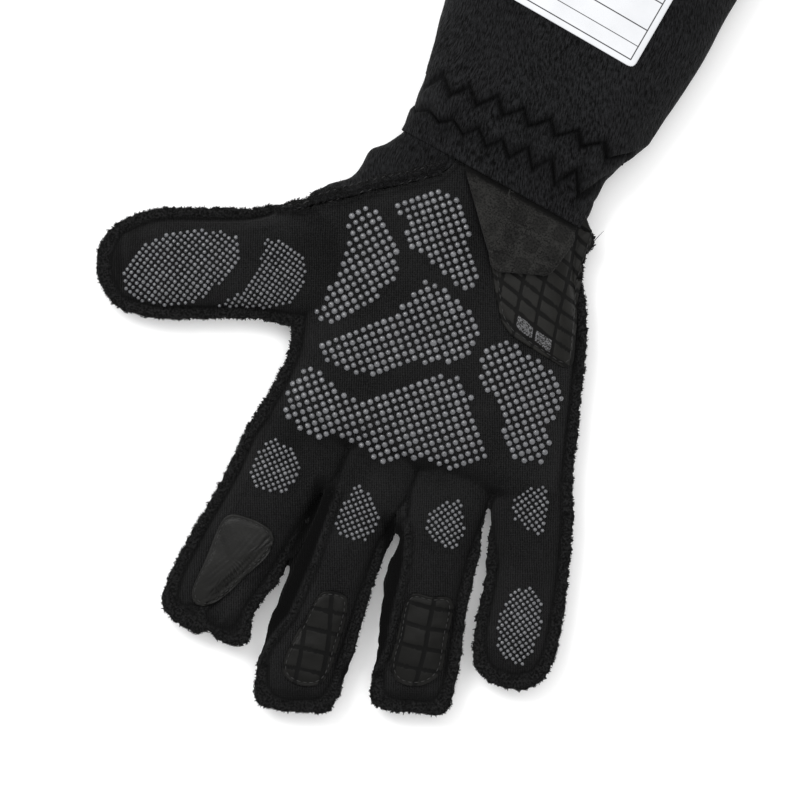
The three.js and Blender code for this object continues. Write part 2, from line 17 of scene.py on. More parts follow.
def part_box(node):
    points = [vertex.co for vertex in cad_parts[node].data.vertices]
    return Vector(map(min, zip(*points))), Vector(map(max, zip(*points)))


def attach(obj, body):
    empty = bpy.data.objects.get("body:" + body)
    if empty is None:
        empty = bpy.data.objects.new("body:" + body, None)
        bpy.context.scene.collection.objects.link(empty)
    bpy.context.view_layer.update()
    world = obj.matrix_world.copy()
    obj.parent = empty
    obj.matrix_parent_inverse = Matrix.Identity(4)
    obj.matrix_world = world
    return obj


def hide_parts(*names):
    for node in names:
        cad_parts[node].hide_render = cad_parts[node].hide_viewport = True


bl_info = {
    "name": "Racing Glove",
    "version": (1, 0, 0),
    "blender": (4, 5, 0),
    "location": "View3D > Sidebar > Glove",
    "description": "Dresses the solids of a racing glove in knit, silicone, leather and thread",
    "category": "Object",
}

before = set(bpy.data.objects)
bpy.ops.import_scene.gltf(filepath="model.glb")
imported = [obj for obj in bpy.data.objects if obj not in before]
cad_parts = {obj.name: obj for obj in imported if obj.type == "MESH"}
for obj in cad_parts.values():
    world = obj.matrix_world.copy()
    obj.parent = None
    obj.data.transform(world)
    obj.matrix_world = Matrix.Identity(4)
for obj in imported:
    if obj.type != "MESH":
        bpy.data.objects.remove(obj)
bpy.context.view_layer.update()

MM = 0.001
SKY = 0.1  # above everything, in metres
DOWN = Vector((0, 0, -1))

# The pattern's origin in the frame, found from the middle of the label
LABEL = {"x": 4.6, "y": 154.0, "wide": 50.0, "long": 40.0, "turn": -12.0, "corner": 2.5}
_low, _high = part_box("cuff_label")
ORIGIN = np.array([(_low.x + _high.x) / 2 - LABEL["x"] * MM, (_low.y + _high.y) / 2 - LABEL["y"] * MM])

# The photograph's own axes, turned by this much about Z, and its middle in the frame
PHOTO_TURN = math.radians(18)
PHOTO_MIDDLE = (0.0188, -0.0427, 0.010)
FILM = 36  # width of the camera's sensor

# Lights: how far left, up and above the photograph's middle in metres, size and share of the power
LIGHTS = (
    ("key_light", (0.75, 0.85, 1.25), 0.8, 1.0),
    ("top_light", (-0.35, 0.5, 1.6), 1.4, 0.55),
)

CLOTH = {
    "palm_panel": "palm_cloth",
    "back_panel": "back_cloth",
    "fork_index_middle": "fork_cloth_index_middle",
    "fork_middle_ring": "fork_cloth_middle_ring",
    "fork_ring_little": "fork_cloth_ring_little",
}
SEAM_Z = 8.0

# Grip prints: the node that a field fills, the pitch and turn of its dots, and their diameter
GRIPS = [
    ("grip_thumb_tip", 1.78, 70, 1.5),
    ("grip_thumb_root", 1.66, 74, 1.4),
    ("grip_palm_thumb", 2.62, 46, 2.2),
    ("grip_palm_wrist", 2.5, 38, 2.12),
    ("grip_palm_centre", 2.6, 39, 2.2),
    ("grip_palm_front", 2.6, 38, 2.2),
    ("grip_palm_side", 2.54, 41, 2.15),
    ("grip_index", 1.74, 41, 1.46),
    ("grip_middle", 1.78, 40, 1.46),
    ("grip_ring", 1.76, 51, 1.46),
    ("grip_little", 1.76, 53, 1.46),
    ("grip_little_tip", 1.7, 53, 1.44),
]

# Outlines of the patches on the pattern
TIP_PATCHES = {
    "tip_patch_index": [(-62, -63.5), (-54, -60.8), (-45, -63), (-43.8, -70), (-49, -81), (-55, -91),
                        (-60.5, -95.5), (-65, -92), (-64, -80)],
    "tip_patch_middle": [(-21.5, -77.5), (-14.5, -76), (-12, -80), (-10.8, -93), (-11.8, -107),
                         (-19, -111), (-26, -108.5), (-26.5, -98), (-24, -86)],
    "tip_patch_ring": [(7.5, -69.5), (15, -67.3), (22, -66.3), (24.5, -78), (26, -91), (22, -97.5),
                       (14.5, -99.5), (9.5, -95.5), (8, -84)],
}
HEEL_PATCH = [(-3.5, 88), (-2.6, 52.6), (0.6, 46), (4.6, 38.2), (8.2, 31.8), (13, 28), (34, 22.8),
              (36.4, 24.6), (34, 36), (31, 52), (30, 88)]
TAB = [(-23.5, 88), (-19.5, 77.5), (-1, 49.6), (1.8, 47.6), (19.4, 51.8), (22.6, 63), (24.2, 74), (25.5, 88)]
LOOSE_THREAD = {"at": (33.0, 69.0), "aim": (0.35, 0.93, 0.2), "length": 5.0, "width": 0.3}
WRIST_SEAM = [(-77, 46.2), (-69.8, 47.2), (-61, 52.6), (-50.7, 59.7), (-39.8, 65.8), (-27.7, 73.4)]
SEAM_AIM = np.array([-0.55, 0.84])  # from the palm's edge across the band behind it

# The printed lozenges of the heel patch: their pitch along two directions, where they start, and
# the silver ones' columns and row
LOZENGE = (7.98, 4.8)
LOZENGE_START = (0.12, 0.46)
LOZENGE_TURN = -19.8
SILVER_COLUMNS, SILVER_ROW = (3, 4), 8
SILVER = (0.11, 0.11, 0.114, 1.0)

# The printed blocks of two fingertips: how they are turned, their pitch and where they start
TIP_TURNS = {"tip_patch_middle": 10, "tip_patch_ring": 4}
TIP_BLOCK = (8.6, 7.3)
TIP_BLOCK_START = (0.1, 0.3)

# The cuff's inner wall: centre, turn, half width, top and underside
CUFF_ROWS = [
    (-10.6, 78.0, 11.0, 35.0, 18.2, 2.0),
    (-9.4, 85.5, 11.0, 34.2, 18.0, 2.0),
    (-8.1, 92.0, 3.5, 33.7, 21.0, 1.8),
    (-4.9, 101.0, 3.5, 36.2, 22.0, 1.8),
    (-2.8, 110.0, 5.0, 39.4, 23.0, 1.8),
    (-0.7, 124.0, 6.0, 41.7, 24.0, 1.8),
    (1.7, 144.0, 6.0, 44.2, 25.0, 1.8),
    (3.7, 165.0, 6.0, 45.7, 26.0, 1.8),
    (7.0, 190.0, 6.0, 48.0, 27.0, 1.8),
]
CUFF_CROWN = 2.8  # how square its cross-section is
CUFF_WALL = 1.8
CUFF_LENGTH = 115.0
HEM_FROM = 103.5  # distances along the cuff start at its front edge
GATHER_ROWS = (11.5, 24.8)
TEETH = 17  # of each zigzag row, round the cuff
TURNS = 2 * TEETH
SWING = 5.2  # from one tooth's tip to the next
COLUMNS = 20 * TEETH  # of the cuff's mesh
COLUMN_TURNS = np.arange(COLUMNS) / COLUMNS * 2 * TEETH

# The lowest places of the cloth, the cuff and small copies above the floor
LOWEST_CLOTH, LOWEST_CUFF, LOWEST_COPY = 0.05, 0.03, 0.02

BORDER = (0.0, 0.12, 0.3, 0.6, 1.1, 1.8)  # rows near a patch's edge, distances from it
EDGE_ROUND = 0.55  # radius of a patch's upper edge
PATCH_OFF = 0.1  # how far a patch lies off the cloth
STITCH_THICK = 0.42

# The outline's corners up to this many degrees are rounded, and points this near move with them
SHARP_CORNER = 48.0
ROUNDED_REACH = 11.0
AT_ONCE = 4000  # points in one step, to save memory
RELAX_ROUNDS = 45

# How much of the scattered fibres are short tufts, and the least and the range of their sizes
TUFT_SHARE = 0.96
TUFT_LENGTH, TUFT_WIDTH = (0.3, 0.28), (0.4, 0.3)
HAIR_LENGTH, HAIR_WIDTH = (0.45, 0.5), (0.15, 0.07)

WAVE = 2 * math.pi  # a full wave of a pattern


# Noise and meshes


def cloth_noise(points, size, seed):
    """Smooth noise from -1 to 1 at the points, with features of about that size."""
    points = np.atleast_2d(points) / size + seed * 17.31
    cell = np.floor(points).astype(np.int64)
    share = points - cell
    share = share * share * (3 - 2 * share)
    total = np.zeros(len(points))
    primes = np.array([73856093, 19349663, 83492791])[: points.shape[1]]
    for corner in np.ndindex(*(2,) * points.shape[1]):
        mixed = ((cell + corner) * primes).sum(1) + seed * 911
        mixed = (mixed ^ (mixed >> 13)) * 1274126177
        mixed = (mixed ^ (mixed >> 16)) & 0xFFFF
        weight = np.prod(np.where(corner, share, 1 - share), axis=1)
        total += (mixed / 32767.5 - 1) * weight
    return total


def layers(points, *rows):
    """A sum of noises, each with its height, size and seed."""
    return sum(height * cloth_noise(points, size, seed) for height, size, seed in rows)


def smoothstep(low, high, value):
    share = np.clip((value - low) / (high - low), 0, 1)
    return share * share * (3 - 2 * share)


def ridge(value, at, width):
    """1 where the value is at a place, falling to 0 on both sides."""
    return np.exp(-(((value - at) / width) ** 2))


def vectors(rows, key):
    flat = np.empty(len(rows) * 3, np.float32)
    rows.foreach_get(key, flat)
    return flat.reshape(-1, 3).astype(float)


def coordinates(piece):
    """A piece's vertices on the pattern, in millimetres."""
    points = vectors(piece.data.vertices, "co")
    points[:, :2] -= ORIGIN
    return points / MM


def own_shape(piece):
    """A template's vertices round its own middle, in millimetres."""
    return vectors(piece.data.vertices, "co") / MM


def normals(piece):
    return vectors(piece.data.vertex_normals, "vector")


def to_frame(points):
    """Pattern millimetres to the frame's metres."""
    placed = np.asarray(points, float) * MM
    placed[:, :2] += ORIGIN
    return placed


def set_shape(piece, points):
    piece.data.vertices.foreach_set("co", np.asarray(points, np.float32).ravel())
    piece.data.update()


def linked(name, data):
    """A new object in the scene."""
    made = bpy.data.objects.new(name, data)
    bpy.context.scene.collection.objects.link(made)
    return made


def new_piece(name, points, faces):
    """A smooth mesh object from pattern points, with its place in its mesh."""
    mesh = bpy.data.meshes.new(name)
    mesh.from_pydata(to_frame(points).tolist(), [], [tuple(int(i) for i in face) for face in faces])
    mesh.polygons.foreach_set("use_smooth", [True] * len(mesh.polygons))
    mesh.update()
    return linked(name, mesh)


def store(piece, name, values):
    """Keeps a number for each vertex, for the piece's material."""
    marks = piece.data.attributes.new(name, "FLOAT", "POINT")
    marks.data.foreach_set("value", np.asarray(values, np.float32))


def select_only(piece):
    bpy.ops.object.select_all(action="DESELECT")
    piece.select_set(True)
    bpy.context.view_layer.objects.active = piece


def started(primitive, **sizes):
    """Adds a primitive while nothing else is selected."""
    bpy.ops.object.select_all(action="DESELECT")
    primitive(**sizes)
    return bpy.context.object


def edit_all(operator, **settings):
    """Runs an edit operator on the whole of the active piece."""
    bpy.ops.object.mode_set(mode="EDIT")
    bpy.ops.mesh.select_all(action="SELECT")
    operator(**settings)
    bpy.ops.object.mode_set(mode="OBJECT")


def band_faces(rings, count, wrap=False):
    """Four-cornered faces between neighbouring closed rings of points."""
    faces = []
    for ring in range(rings if wrap else rings - 1):
        here, there = ring * count, (ring + 1) % rings * count
        for i in range(count):
            j = (i + 1) % count
            faces.append((here + i, here + j, there + j, there + i))
    return faces


def surface_of(*pieces):
    """A tree for rays against the surfaces of pieces or of their names, in metres."""
    points, faces, start = [], [], 0
    for piece in pieces:
        piece = bpy.data.objects[piece] if isinstance(piece, str) else piece
        points += [v.co.copy() for v in piece.data.vertices]
        faces += [[i + start for i in p.vertices] for p in piece.data.polygons]
        start = len(points)
    return BVHTree.FromPolygons(points, faces)


def dropped(surface, points):
    """Where points in plan land on a surface from above, and the normals there."""
    spots, facing = [], []
    for x, y in to_frame(np.c_[points, np.zeros(len(points))])[:, :2]:
        spot, normal, _, _ = surface.ray_cast(Vector((x, y, SKY)), DOWN)
        if spot is None:
            spot, normal, _, _ = surface.find_nearest(Vector((x, y, 0.015)))
        spots.append(spot)
        facing.append(normal if normal.z > 0 else -normal)
    spots = np.array(spots, float)
    spots[:, :2] -= ORIGIN
    return spots / MM, np.array(facing, float)


def finish_piece(piece, material, slot, *nodes):
    """Gives a finished piece its material and its body, and hides the nodes it stands for. The slot is not
    used.
    """
    piece.data.materials.clear()
    piece.data.materials.append(material)
    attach(piece, "root")
    if nodes:
        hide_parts(*nodes)


def stamp(name, template, places, turns, scales):
    """One mesh of many copies of a template piece, each turned, scaled and put in its place."""
    shape = own_shape(template)
    corners = max(len(p.vertices) for p in template.data.polygons)
    faces = [list(p.vertices) + [-1] * (corners - len(p.vertices)) for p in template.data.polygons]
    faces = np.array(faces)
    scales = np.broadcast_to(np.asarray(scales, float).reshape(len(places), -1), (len(places), 3))
    points = np.einsum("nij,nvj->nvi", turns, shape[None] * scales[:, None]) + places[:, None]
    points[..., 2] = np.maximum(points[..., 2], LOWEST_COPY)
    steps = np.arange(len(places))[:, None, None] * len(shape)
    every = np.where(faces[None] < 0, -1, faces[None] + steps).reshape(-1, faces.shape[1])
    return new_piece(name, points.reshape(-1, 3), [[i for i in face if i >= 0] for face in every])


def frames_along(normal, along):
    """Rotation matrices whose Z is the normal and whose X runs along a direction."""
    z = normal / np.linalg.norm(normal, axis=1, keepdims=True)
    x = along - z * (along * z).sum(1, keepdims=True)
    x /= np.linalg.norm(x, axis=1, keepdims=True)
    return np.stack([x, np.cross(z, x), z], axis=2)


# Materials


class Wire:
    """A shader value. Arithmetic on it adds Math nodes."""

    def __init__(self, finish, socket):
        self.finish = finish
        self.socket = socket

    def math(self, operation, *values):
        return self.finish.node("ShaderNodeMath", {"operation": operation}, dict(enumerate(values)))

    def __add__(self, other):
        return self.math("ADD", self, other)

    def __sub__(self, other):
        return self.math("SUBTRACT", self, other)

    def __rsub__(self, other):
        return self.math("SUBTRACT", other, self)

    def __mul__(self, other):
        return self.math("MULTIPLY", self, other)

    __radd__ = __add__
    __rmul__ = __mul__

    def sine(self):
        return self.math("SINE", self)

    def wave(self):
        """The sine, from 0 to 1."""
        return (self.sine() + 1) * 0.5

    def size(self):
        return self.math("ABSOLUTE", self)

    def above(self, low, high):
        """0 below low, 1 above high, smooth between them."""
        settings = {"interpolation_type": "SMOOTHSTEP"}
        ends = {"Value": self, "From Min": low, "From Max": high, "To Min": 0.0, "To Max": 1.0}
        return self.finish.node("ShaderNodeMapRange", settings, ends)


class Finish:
    """A material with a Principled shader, whose nodes are added one method call at a time."""

    def __init__(self, name):
        self.material = bpy.data.materials.new(name)
        self.material.use_nodes = True
        self.tree = self.material.node_tree
        self.shader = self.tree.nodes["Principled BSDF"]

    def node(self, kind, settings, inputs, output=0):
        made = self.tree.nodes.new(kind)
        for key, value in settings.items():
            setattr(made, key, value)
        for key, value in inputs.items():
            self.feed(made.inputs[key], value)
        return Wire(self, made.outputs[output])

    def feed(self, socket, value):
        if isinstance(value, Wire):
            self.tree.links.new(value.socket, socket)
        else:
            socket.default_value = value

    def pattern(self, turn=0.0, scale=(1.0, 1.0, 1.0), move=(0.0, 0.0, 0.0)):
        """Object coordinates in millimetres, moved, turned about Z and scaled."""
        spot = self.node("ShaderNodeTexCoord", {}, {}, "Object")
        moved = {"Vector": spot, "Location": tuple(-v * MM for v in move)}
        spot = self.node("ShaderNodeMapping", {"vector_type": "POINT"}, moved)
        turned = {"Vector": spot, "Rotation": (0, 0, -turn), "Scale": (1 / MM,) * 3}
        spot = self.node("ShaderNodeMapping", {}, turned)
        return self.node("ShaderNodeMapping", {}, {"Vector": spot, "Scale": scale})

    def parts(self, vector):
        split = self.node("ShaderNodeSeparateXYZ", {}, {"Vector": vector})
        node = split.socket.node
        return [Wire(self, output) for output in node.outputs]

    def noise(self, vector, scale, detail=2.0, roughness=0.5):
        inputs = {"Vector": vector, "Scale": scale, "Detail": detail, "Roughness": roughness}
        return self.node("ShaderNodeTexNoise", {}, inputs)

    def attribute(self, name):
        return self.node("ShaderNodeAttribute", {"attribute_name": name}, {}, "Fac")

    def blend(self, share, first, second):
        inputs = {0: share, 6: first, 7: second}
        return self.node("ShaderNodeMix", {"data_type": "RGBA"}, inputs, 2)

    def tint(self, share, colour, low, high):
        """A colour from low to high times as bright, by a share."""
        return self.blend(share, shade(colour, low), shade(colour, high))

    def grain(self, vector, scale):
        """Small cells, as in leather."""
        return self.node("ShaderNodeTexVoronoi", {"feature": "F1"}, {"Vector": vector, "Scale": scale})

    def surface(self, colour, roughness, height=None, depth=0.2, normal_strength=1.0, **constants):
        """Links colour, roughness and the bump of a height, and sets the constants."""
        self.feed(self.shader.inputs["Base Color"], colour)
        self.feed(self.shader.inputs["Roughness"], roughness)
        for key, value in constants.items():
            self.shader.inputs[key.replace("_", " ").title().replace("Ior", "IOR")].default_value = value
        if height is not None:
            inputs = {"Strength": normal_strength, "Distance": depth * MM, "Height": height}
            bump = self.node("ShaderNodeBump", {}, inputs)
            self.feed(self.shader.inputs["Normal"], bump)
        return self.material


def shade(colour, factor):
    return tuple(channel * factor for channel in colour[:3]) + (1.0,)


def terry(made, spot, colour):
    """Colour and height of the looped pile on the raw edges."""
    curls = made.noise(spot, 1.3, 3.0, 0.72)
    return made.tint(curls.above(0.4, 0.62), colour, 0.2, 3.0), curls * 3.4


def knit_finish(colour, wale, course):
    """Fine rib knit with upright wales; it turns to looped pile where the piece says so."""
    made = Finish("rib_knit")
    spot = made.pattern(turn=PHOTO_TURN)
    waver = made.noise(spot, 0.09, 1.0)
    across, along, _ = made.parts(spot)
    across = across + waver * 1.2
    ribs = (across * (WAVE / wale)).wave()
    loops = (along * (WAVE / course) + ribs * 2.2).wave()
    fluff = made.noise(spot, 1.9, 3.0, 0.6)
    pile = made.attribute("pile")
    curled, curls = terry(made, spot, colour)
    smooth = ribs * 0.5 + loops * 0.3 + fluff * 0.55
    height = smooth * (1 - pile) + (curls + fluff * 0.6) * pile
    cloud = made.noise(spot, 0.045, 2.0)
    tone = (ribs * 0.42 + loops * 0.16 + fluff * 1.7 + cloud * 0.7 - 0.95).above(0.0, 1.0)
    lint = made.noise(spot, 2.6, 2.0).above(0.66, 0.76) * 0.55
    knitted = made.blend(lint, made.tint(tone, colour, 0.22, 2.6), shade(colour, 4.5))
    knitted = made.blend(pile, knitted, curled)
    # Painted shade: the knit turns nearly black where the piece's stored shade values are high
    knitted = made.blend(made.attribute("crease"), knitted, shade(colour, 0.12))
    return made.surface(knitted, 0.9, height, 0.45, 1.0, sheen_weight=0.02, sheen_roughness=0.4,
                        specular_ior_level=0.09)


def brushed_finish(colour, streak):
    """Brushed knit whose fibres lie down along the cuff, with shade painted nearly black down in its creases.
    """
    made = Finish("cuff_knit")
    spot = made.pattern(turn=math.radians(8))
    across, along, _ = made.parts(spot)
    bend = made.noise(spot, 0.022, 1.0) * 34.0
    hairs = []
    for fine in (2.3, 1.1):
        inputs = {"X": across * fine + bend, "Y": along * (fine / streak), "Z": 1.0}
        lying = made.node("ShaderNodeCombineXYZ", {}, inputs)
        hairs.append(made.noise(lying, 1.0, 2.0, 0.6))
    hair, coarse = hairs
    cloud = made.noise(spot, 0.05, 2.0)
    fleck = made.noise(spot, 1.5, 2.0, 0.6)
    pile = made.attribute("pile")
    curled, curls = terry(made, spot, colour)
    height = (hair * 1.1 + coarse + fleck * 0.5) * (1 - pile) + curls * pile
    tone = (hair * 2.2 + coarse * 0.9 + fleck * 0.3 + cloud * 0.4 - 1.4).above(0.05, 0.95)
    brushed = made.blend(pile, made.tint(tone, colour, 0.1, 2.9), curled)
    # Painted shade: the cuff knit turns nearly black in its creases and under its stitches
    brushed = made.blend(made.attribute("crease"), brushed, shade(colour, 0.1))
    return made.surface(brushed, 0.88, height, 0.8, 1.0, sheen_weight=0.02, sheen_roughness=0.35,
                        specular_ior_level=0.08)


def leather_finish(colour):
    """Plain soft leather with fine grain and creases."""
    made = Finish("smooth_leather")
    spot = made.pattern()
    crease = made.noise(made.pattern(math.radians(35), (1.0, 0.18, 1.0)), 0.55, 3.0, 0.6)
    cloud = made.noise(spot, 0.11, 3.0)
    cloudy = made.tint(cloud.above(0.3, 0.7), colour, 0.75, 1.3)
    height = made.grain(spot, 1.7) * 0.25 + crease
    return made.surface(cloudy, 0.32 + cloud * 0.22, height, 0.26, 0.8, specular_ior_level=0.19)


def printed_finish(colour, name, edges):
    """Leather printed with blocks; the attribute `print` is 1 on a block and 0 on a line."""
    made = Finish(name)
    spot = made.pattern()
    block = made.attribute("print").above(0.35, 0.65)
    cloud = made.noise(spot, 0.16, 3.0)
    wear = made.noise(spot, 1.2, 3.0)
    speck = made.attribute("silver").above(0.4, 0.6) * made.noise(spot, 2.2, 2.0).above(0.47, 0.53)
    face = made.tint(cloud.above(0.3, 0.7), colour, 0.8, 1.25)
    face = made.blend(wear.above(0.62, 0.8) * 0.35, face, shade(colour, 1.8))
    printed = made.blend(block, shade(colour, edges), face)
    printed = made.blend(speck, printed, SILVER)
    height = block * 0.5 + made.grain(spot, 1.5) * 0.16 + wear * 0.12
    rough = 0.62 - block * 0.26 + cloud * 0.08
    return made.surface(printed, rough, height, 0.16, 0.8, specular_ior_level=0.12)


def silicone_finish(colour):
    """Cloudy rubber of the dots, with a fine frost."""
    made = Finish("grip_silicone")
    spot = made.pattern()
    cloud = made.noise(spot, 0.35, 2.0)
    frost = made.noise(spot, 2.4, 2.0)
    cloudy = made.tint((cloud * 0.6 + frost * 0.6 - 0.1).above(0.2, 0.85), colour, 0.5, 1.35)
    return made.surface(cloudy, 0.24, frost, 0.14, 0.9, specular_ior_level=0.85)


def tab_finish(colour, pitch, thread):
    """Woven tab cloth with faint rounded squares."""
    made = Finish("tab_cloth")
    spot = made.pattern(turn=PHOTO_TURN - math.radians(24))
    x, y, _ = made.parts(spot)
    weft = ((x * (WAVE / thread)).sine() * (y * (WAVE / thread)).sine() + 1) * 0.5
    cells = (x * (math.pi / pitch)).sine().size() * (y * (math.pi / pitch)).sine().size()
    square = cells.above(0.3, 0.5) * made.noise(spot, 0.06, 1.0).above(0.3, 0.5)
    fluff = made.noise(spot, 1.7, 3.0, 0.7)
    cloud = made.noise(spot, 0.08, 2.0)
    tone = (fluff * 3.0 + cloud * 0.8 + weft * 0.3 - 1.5).above(0.0, 1.0)
    woven = made.blend(square * 0.4, made.tint(tone, colour, 0.3, 4.0), shade(colour, 0.35))
    # Painted shade: the tab turns nearly black where it goes under the cuff's front edge
    woven = made.blend(made.attribute("crease"), woven, shade(colour, 0.12))
    height = weft * 0.4 + fluff
    return made.surface(woven, 0.85, height, 0.22, 0.9, sheen_weight=0.03, specular_ior_level=0.12)


def thread_finish(colour):
    """Twisted sewing thread."""
    made = Finish("thread")
    twist = made.noise(made.pattern(), 3.0, 2.0)
    twisted = made.tint(twist.above(0.3, 0.7), colour, 0.6, 1.7)
    return made.surface(twisted, 0.6, twist, 0.08, 0.6, specular_ior_level=0.4)


def label_finish(white, ink):
    """Coated label cloth: a thin frame line inset from the edge, and ruled lines, left bare."""
    made = Finish("label_cloth")
    middle = [LABEL["x"] + ORIGIN[0] / MM, LABEL["y"] + ORIGIN[1] / MM, 0]
    spot = made.pattern(math.radians(LABEL["turn"]), (1.0, 1.0, 1.0), middle)
    x, y, _ = made.parts(spot)
    inset, line, fine, soft = 2.3, 0.16, 0.1, 0.1
    wide, long = LABEL["wide"] / 2 - inset, LABEL["long"] / 2 - inset

    def within(value, half):
        return 1 - value.size().above(half, half + soft)

    marks = within(x.size() - wide, line) * within(y, long + line)
    for at, half in ((long, line), (-long, line), (-long + 5.2, fine), (-long + 11.6, line), (4.5, line)):
        marks = marks.math("MAXIMUM", marks, within(y - at, half) * within(x, wide + line))
    weave = (x * 16.0).sine() * (y * 16.0).sine()
    cloth = made.tint(made.noise(spot, 0.12, 2.0).above(0.3, 0.7), white, 0.95, 1.0)
    return made.surface(made.blend(marks, cloth, ink), 0.5, weave, 0.03, 0.3, specular_ior_level=0.4)


# Cloth of the hand


def cut_slits(piece):
    """Opens the narrow slits between the fingers up to where they end in the photograph."""
    for outline in SLITS:
        count = len(outline)
        points = [(x, y, z) for z in CUT_HEIGHTS for x, y in outline]
        ends = [range(count)[::-1], range(count, 2 * count)]
        faces = ends + band_faces(2, count)
        cutter = new_piece("slit_cutter", np.array(points, float), faces)
        select_only(piece)
        bpy.ops.object.modifier_add(type="BOOLEAN")
        cut = piece.modifiers[-1]
        cut.operation = "DIFFERENCE"
        cut.solver = "EXACT"
        cut.object = cutter
        bpy.ops.object.modifier_apply(modifier=cut.name)
        bpy.data.objects.remove(cutter)


def cloth_copy(node, voxel):
    """A node's solid as an even mesh, in a new object."""
    piece = linked(CLOTH[node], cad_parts[node].data.copy())
    select_only(piece)
    edit_all(bpy.ops.mesh.remove_doubles, threshold=2e-6)
    cut_slits(piece)
    piece.data.remesh_voxel_size = voxel * MM
    bpy.ops.object.voxel_remesh()
    piece.data.polygons.foreach_set("use_smooth", [True] * len(piece.data.polygons))
    return piece


def relaxed(piece, rounds):
    """Evens out a mesh without shrinking it, by steps in and out."""
    points = coordinates(piece)
    count = len(points)
    flat = np.empty(len(piece.data.edges) * 2, np.int32)
    piece.data.edges.foreach_get("vertices", flat)
    a, b = flat.reshape(-1, 2).T
    degree = np.maximum(np.bincount(a, minlength=count) + np.bincount(b, minlength=count), 1)
    for step in range(2 * rounds):
        around = np.empty_like(points)
        for axis, value in enumerate(points.T):
            around[:, axis] = np.bincount(a, value[b], count) + np.bincount(b, value[a], count)
        points += (-0.62 if step % 2 else 0.6) * (around / degree[:, None] - points)
    set_shape(piece, to_frame(points))


def hidden_inside(piece, surface):
    """True for each vertex that sees neither straight up nor straight down past the glove."""
    starts = to_frame(coordinates(piece) + 0.35 * normals(piece))
    ways = (Vector((0, 0, 1)), DOWN)
    return np.array([all(surface.ray_cast(Vector(start), way)[0] is not None for way in ways)
                     for start in starts])


def rim_of(node):
    """The corners of a panel's outer edge in plan, as closed or open chains."""
    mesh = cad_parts[node].data
    spots = np.round(np.array([v.co for v in mesh.vertices]) / MM, 2)
    keys = [tuple(spot) for spot in spots]
    beside = {}
    for face in mesh.polygons:
        corners = [keys[i] for i in face.vertices]
        heights = [corner[2] for corner in corners]
        if abs(face.normal.z) > 0.3 or min(heights) < SEAM_Z or max(heights) > SEAM_Z + 1.6:
            continue
        low = [corner for corner in corners if corner[2] < SEAM_Z + 0.4]
        if len(low) == 2 and low[0] != low[1]:
            for one, other in (low, low[::-1]):
                beside.setdefault(one, set()).add(other)
    chains = []
    while beside:
        start = min(beside, key=lambda corner: (len(beside[corner]), corner))
        chain = [start]
        while chain[-1] in beside:
            others = sorted(beside.pop(chain[-1]))
            chain += [other for other in others if other in beside][:1]
        chains.append(np.array(chain)[:, :2] - ORIGIN / MM)
    return [chain for chain in chains if len(chain) > 3]


def rounding(chain):
    """Spans of a chain of corners, with the tangents of a smooth curve through all but sharp ones."""
    spans = np.diff(chain, axis=0)
    length = np.linalg.norm(spans, axis=1)
    aim = spans / length[:, None]
    first, last = aim.copy(), aim.copy()
    for i in range(1, len(aim)):
        if aim[i - 1] @ aim[i] > math.cos(math.radians(SHARP_CORNER)):
            mean = aim[i - 1] + aim[i]
            first[i] = last[i - 1] = mean / np.linalg.norm(mean)
    return chain[:-1], spans, length, first, last


def rounded(points, chains):
    """Moves points near a faceted outline to where a smooth outline would have them."""
    tables = [rounding(chain) for chain in chains]
    starts, spans, length, first, last = (np.concatenate(rows) for rows in zip(*tables))
    moved = points.copy()
    for i in range(0, len(points), AT_ONCE):
        spot = points[i:i + AT_ONCE, None, :2]
        share = np.clip(((spot - starts) * spans).sum(2) / length**2, 0, 1)
        away = np.linalg.norm(spot - starts - share[..., None] * spans, axis=2)
        best = away.argmin(1)
        rows = np.arange(len(best))
        t, size = share[rows, best][:, None], length[best][:, None]
        bulge = (t**3 - 2 * t**2 + t) * first[best] + (t**3 - t**2) * last[best]
        bulge -= (t - 3 * t**2 + 2 * t**3) * spans[best] / size
        moved[i:i + AT_ONCE, :2] += bulge * size * smoothstep(ROUNDED_REACH, 0, away[rows, best])[:, None]
    return moved


def distance_to(points, others):
    """How far each point is from the nearest of the others."""
    tree = KDTree(len(others))
    for i, point in enumerate(others):
        tree.insert(point, i)
    tree.balance()
    return np.array([tree.find(point)[2] for point in points])


def bump_at(points, x, y, radius):
    return np.exp(-((points[:, 0] - x) ** 2 + (points[:, 1] - y) ** 2) / radius**2)


def fold_line(points, x1, y1, x2, y2, width):
    """A soft ridge along a line in plan, from 0 to 1."""
    start, along = np.array([x1, y1]), np.array([x2 - x1, y2 - y1])
    share = np.clip(((points[:, :2] - start) @ along) / (along @ along), 0, 1)
    away = points[:, :2] - start - share[:, None] * along
    return np.exp(-(away**2).sum(1) / width**2) * np.sin(np.pi * np.clip(share, 0.03, 0.97)) ** 0.5


# The cutters of the slits reach from below the glove to above it
CUT_HEIGHTS = (-5, 45)

# Soft folds of the palm cloth: line, width and height
FOLDS = [
    (-72, 41, -58, 18, 3.0, 0.7),
    (-66, 44, -50, 26, 2.6, -0.6),
    (-60, 10, -44, 2, 2.4, 0.9),
    (-57, 2, -40, -4, 2.2, -0.8),
    (-8, -34, 0, -26, 3.0, -0.8),
    (24, -28, 30, -18, 2.8, -0.7),
    (-34, -32, -28, -22, 3.0, -0.9),
    (-35, -26, -8, -33, 4.0, 0.6),
    (-2, 47, -24, 66, 3.5, 0.8),
    (-58, -54, -40, -58, 3.5, 0.6),
    (-32, -60, -14, -64, 3.0, 0.5),
    (2, -56, 22, -60, 3.2, 0.5),
    (37, -42, 52, -46, 3.2, 0.5),
    (-98, 6, -94, 30, 4.0, 0.5),
]


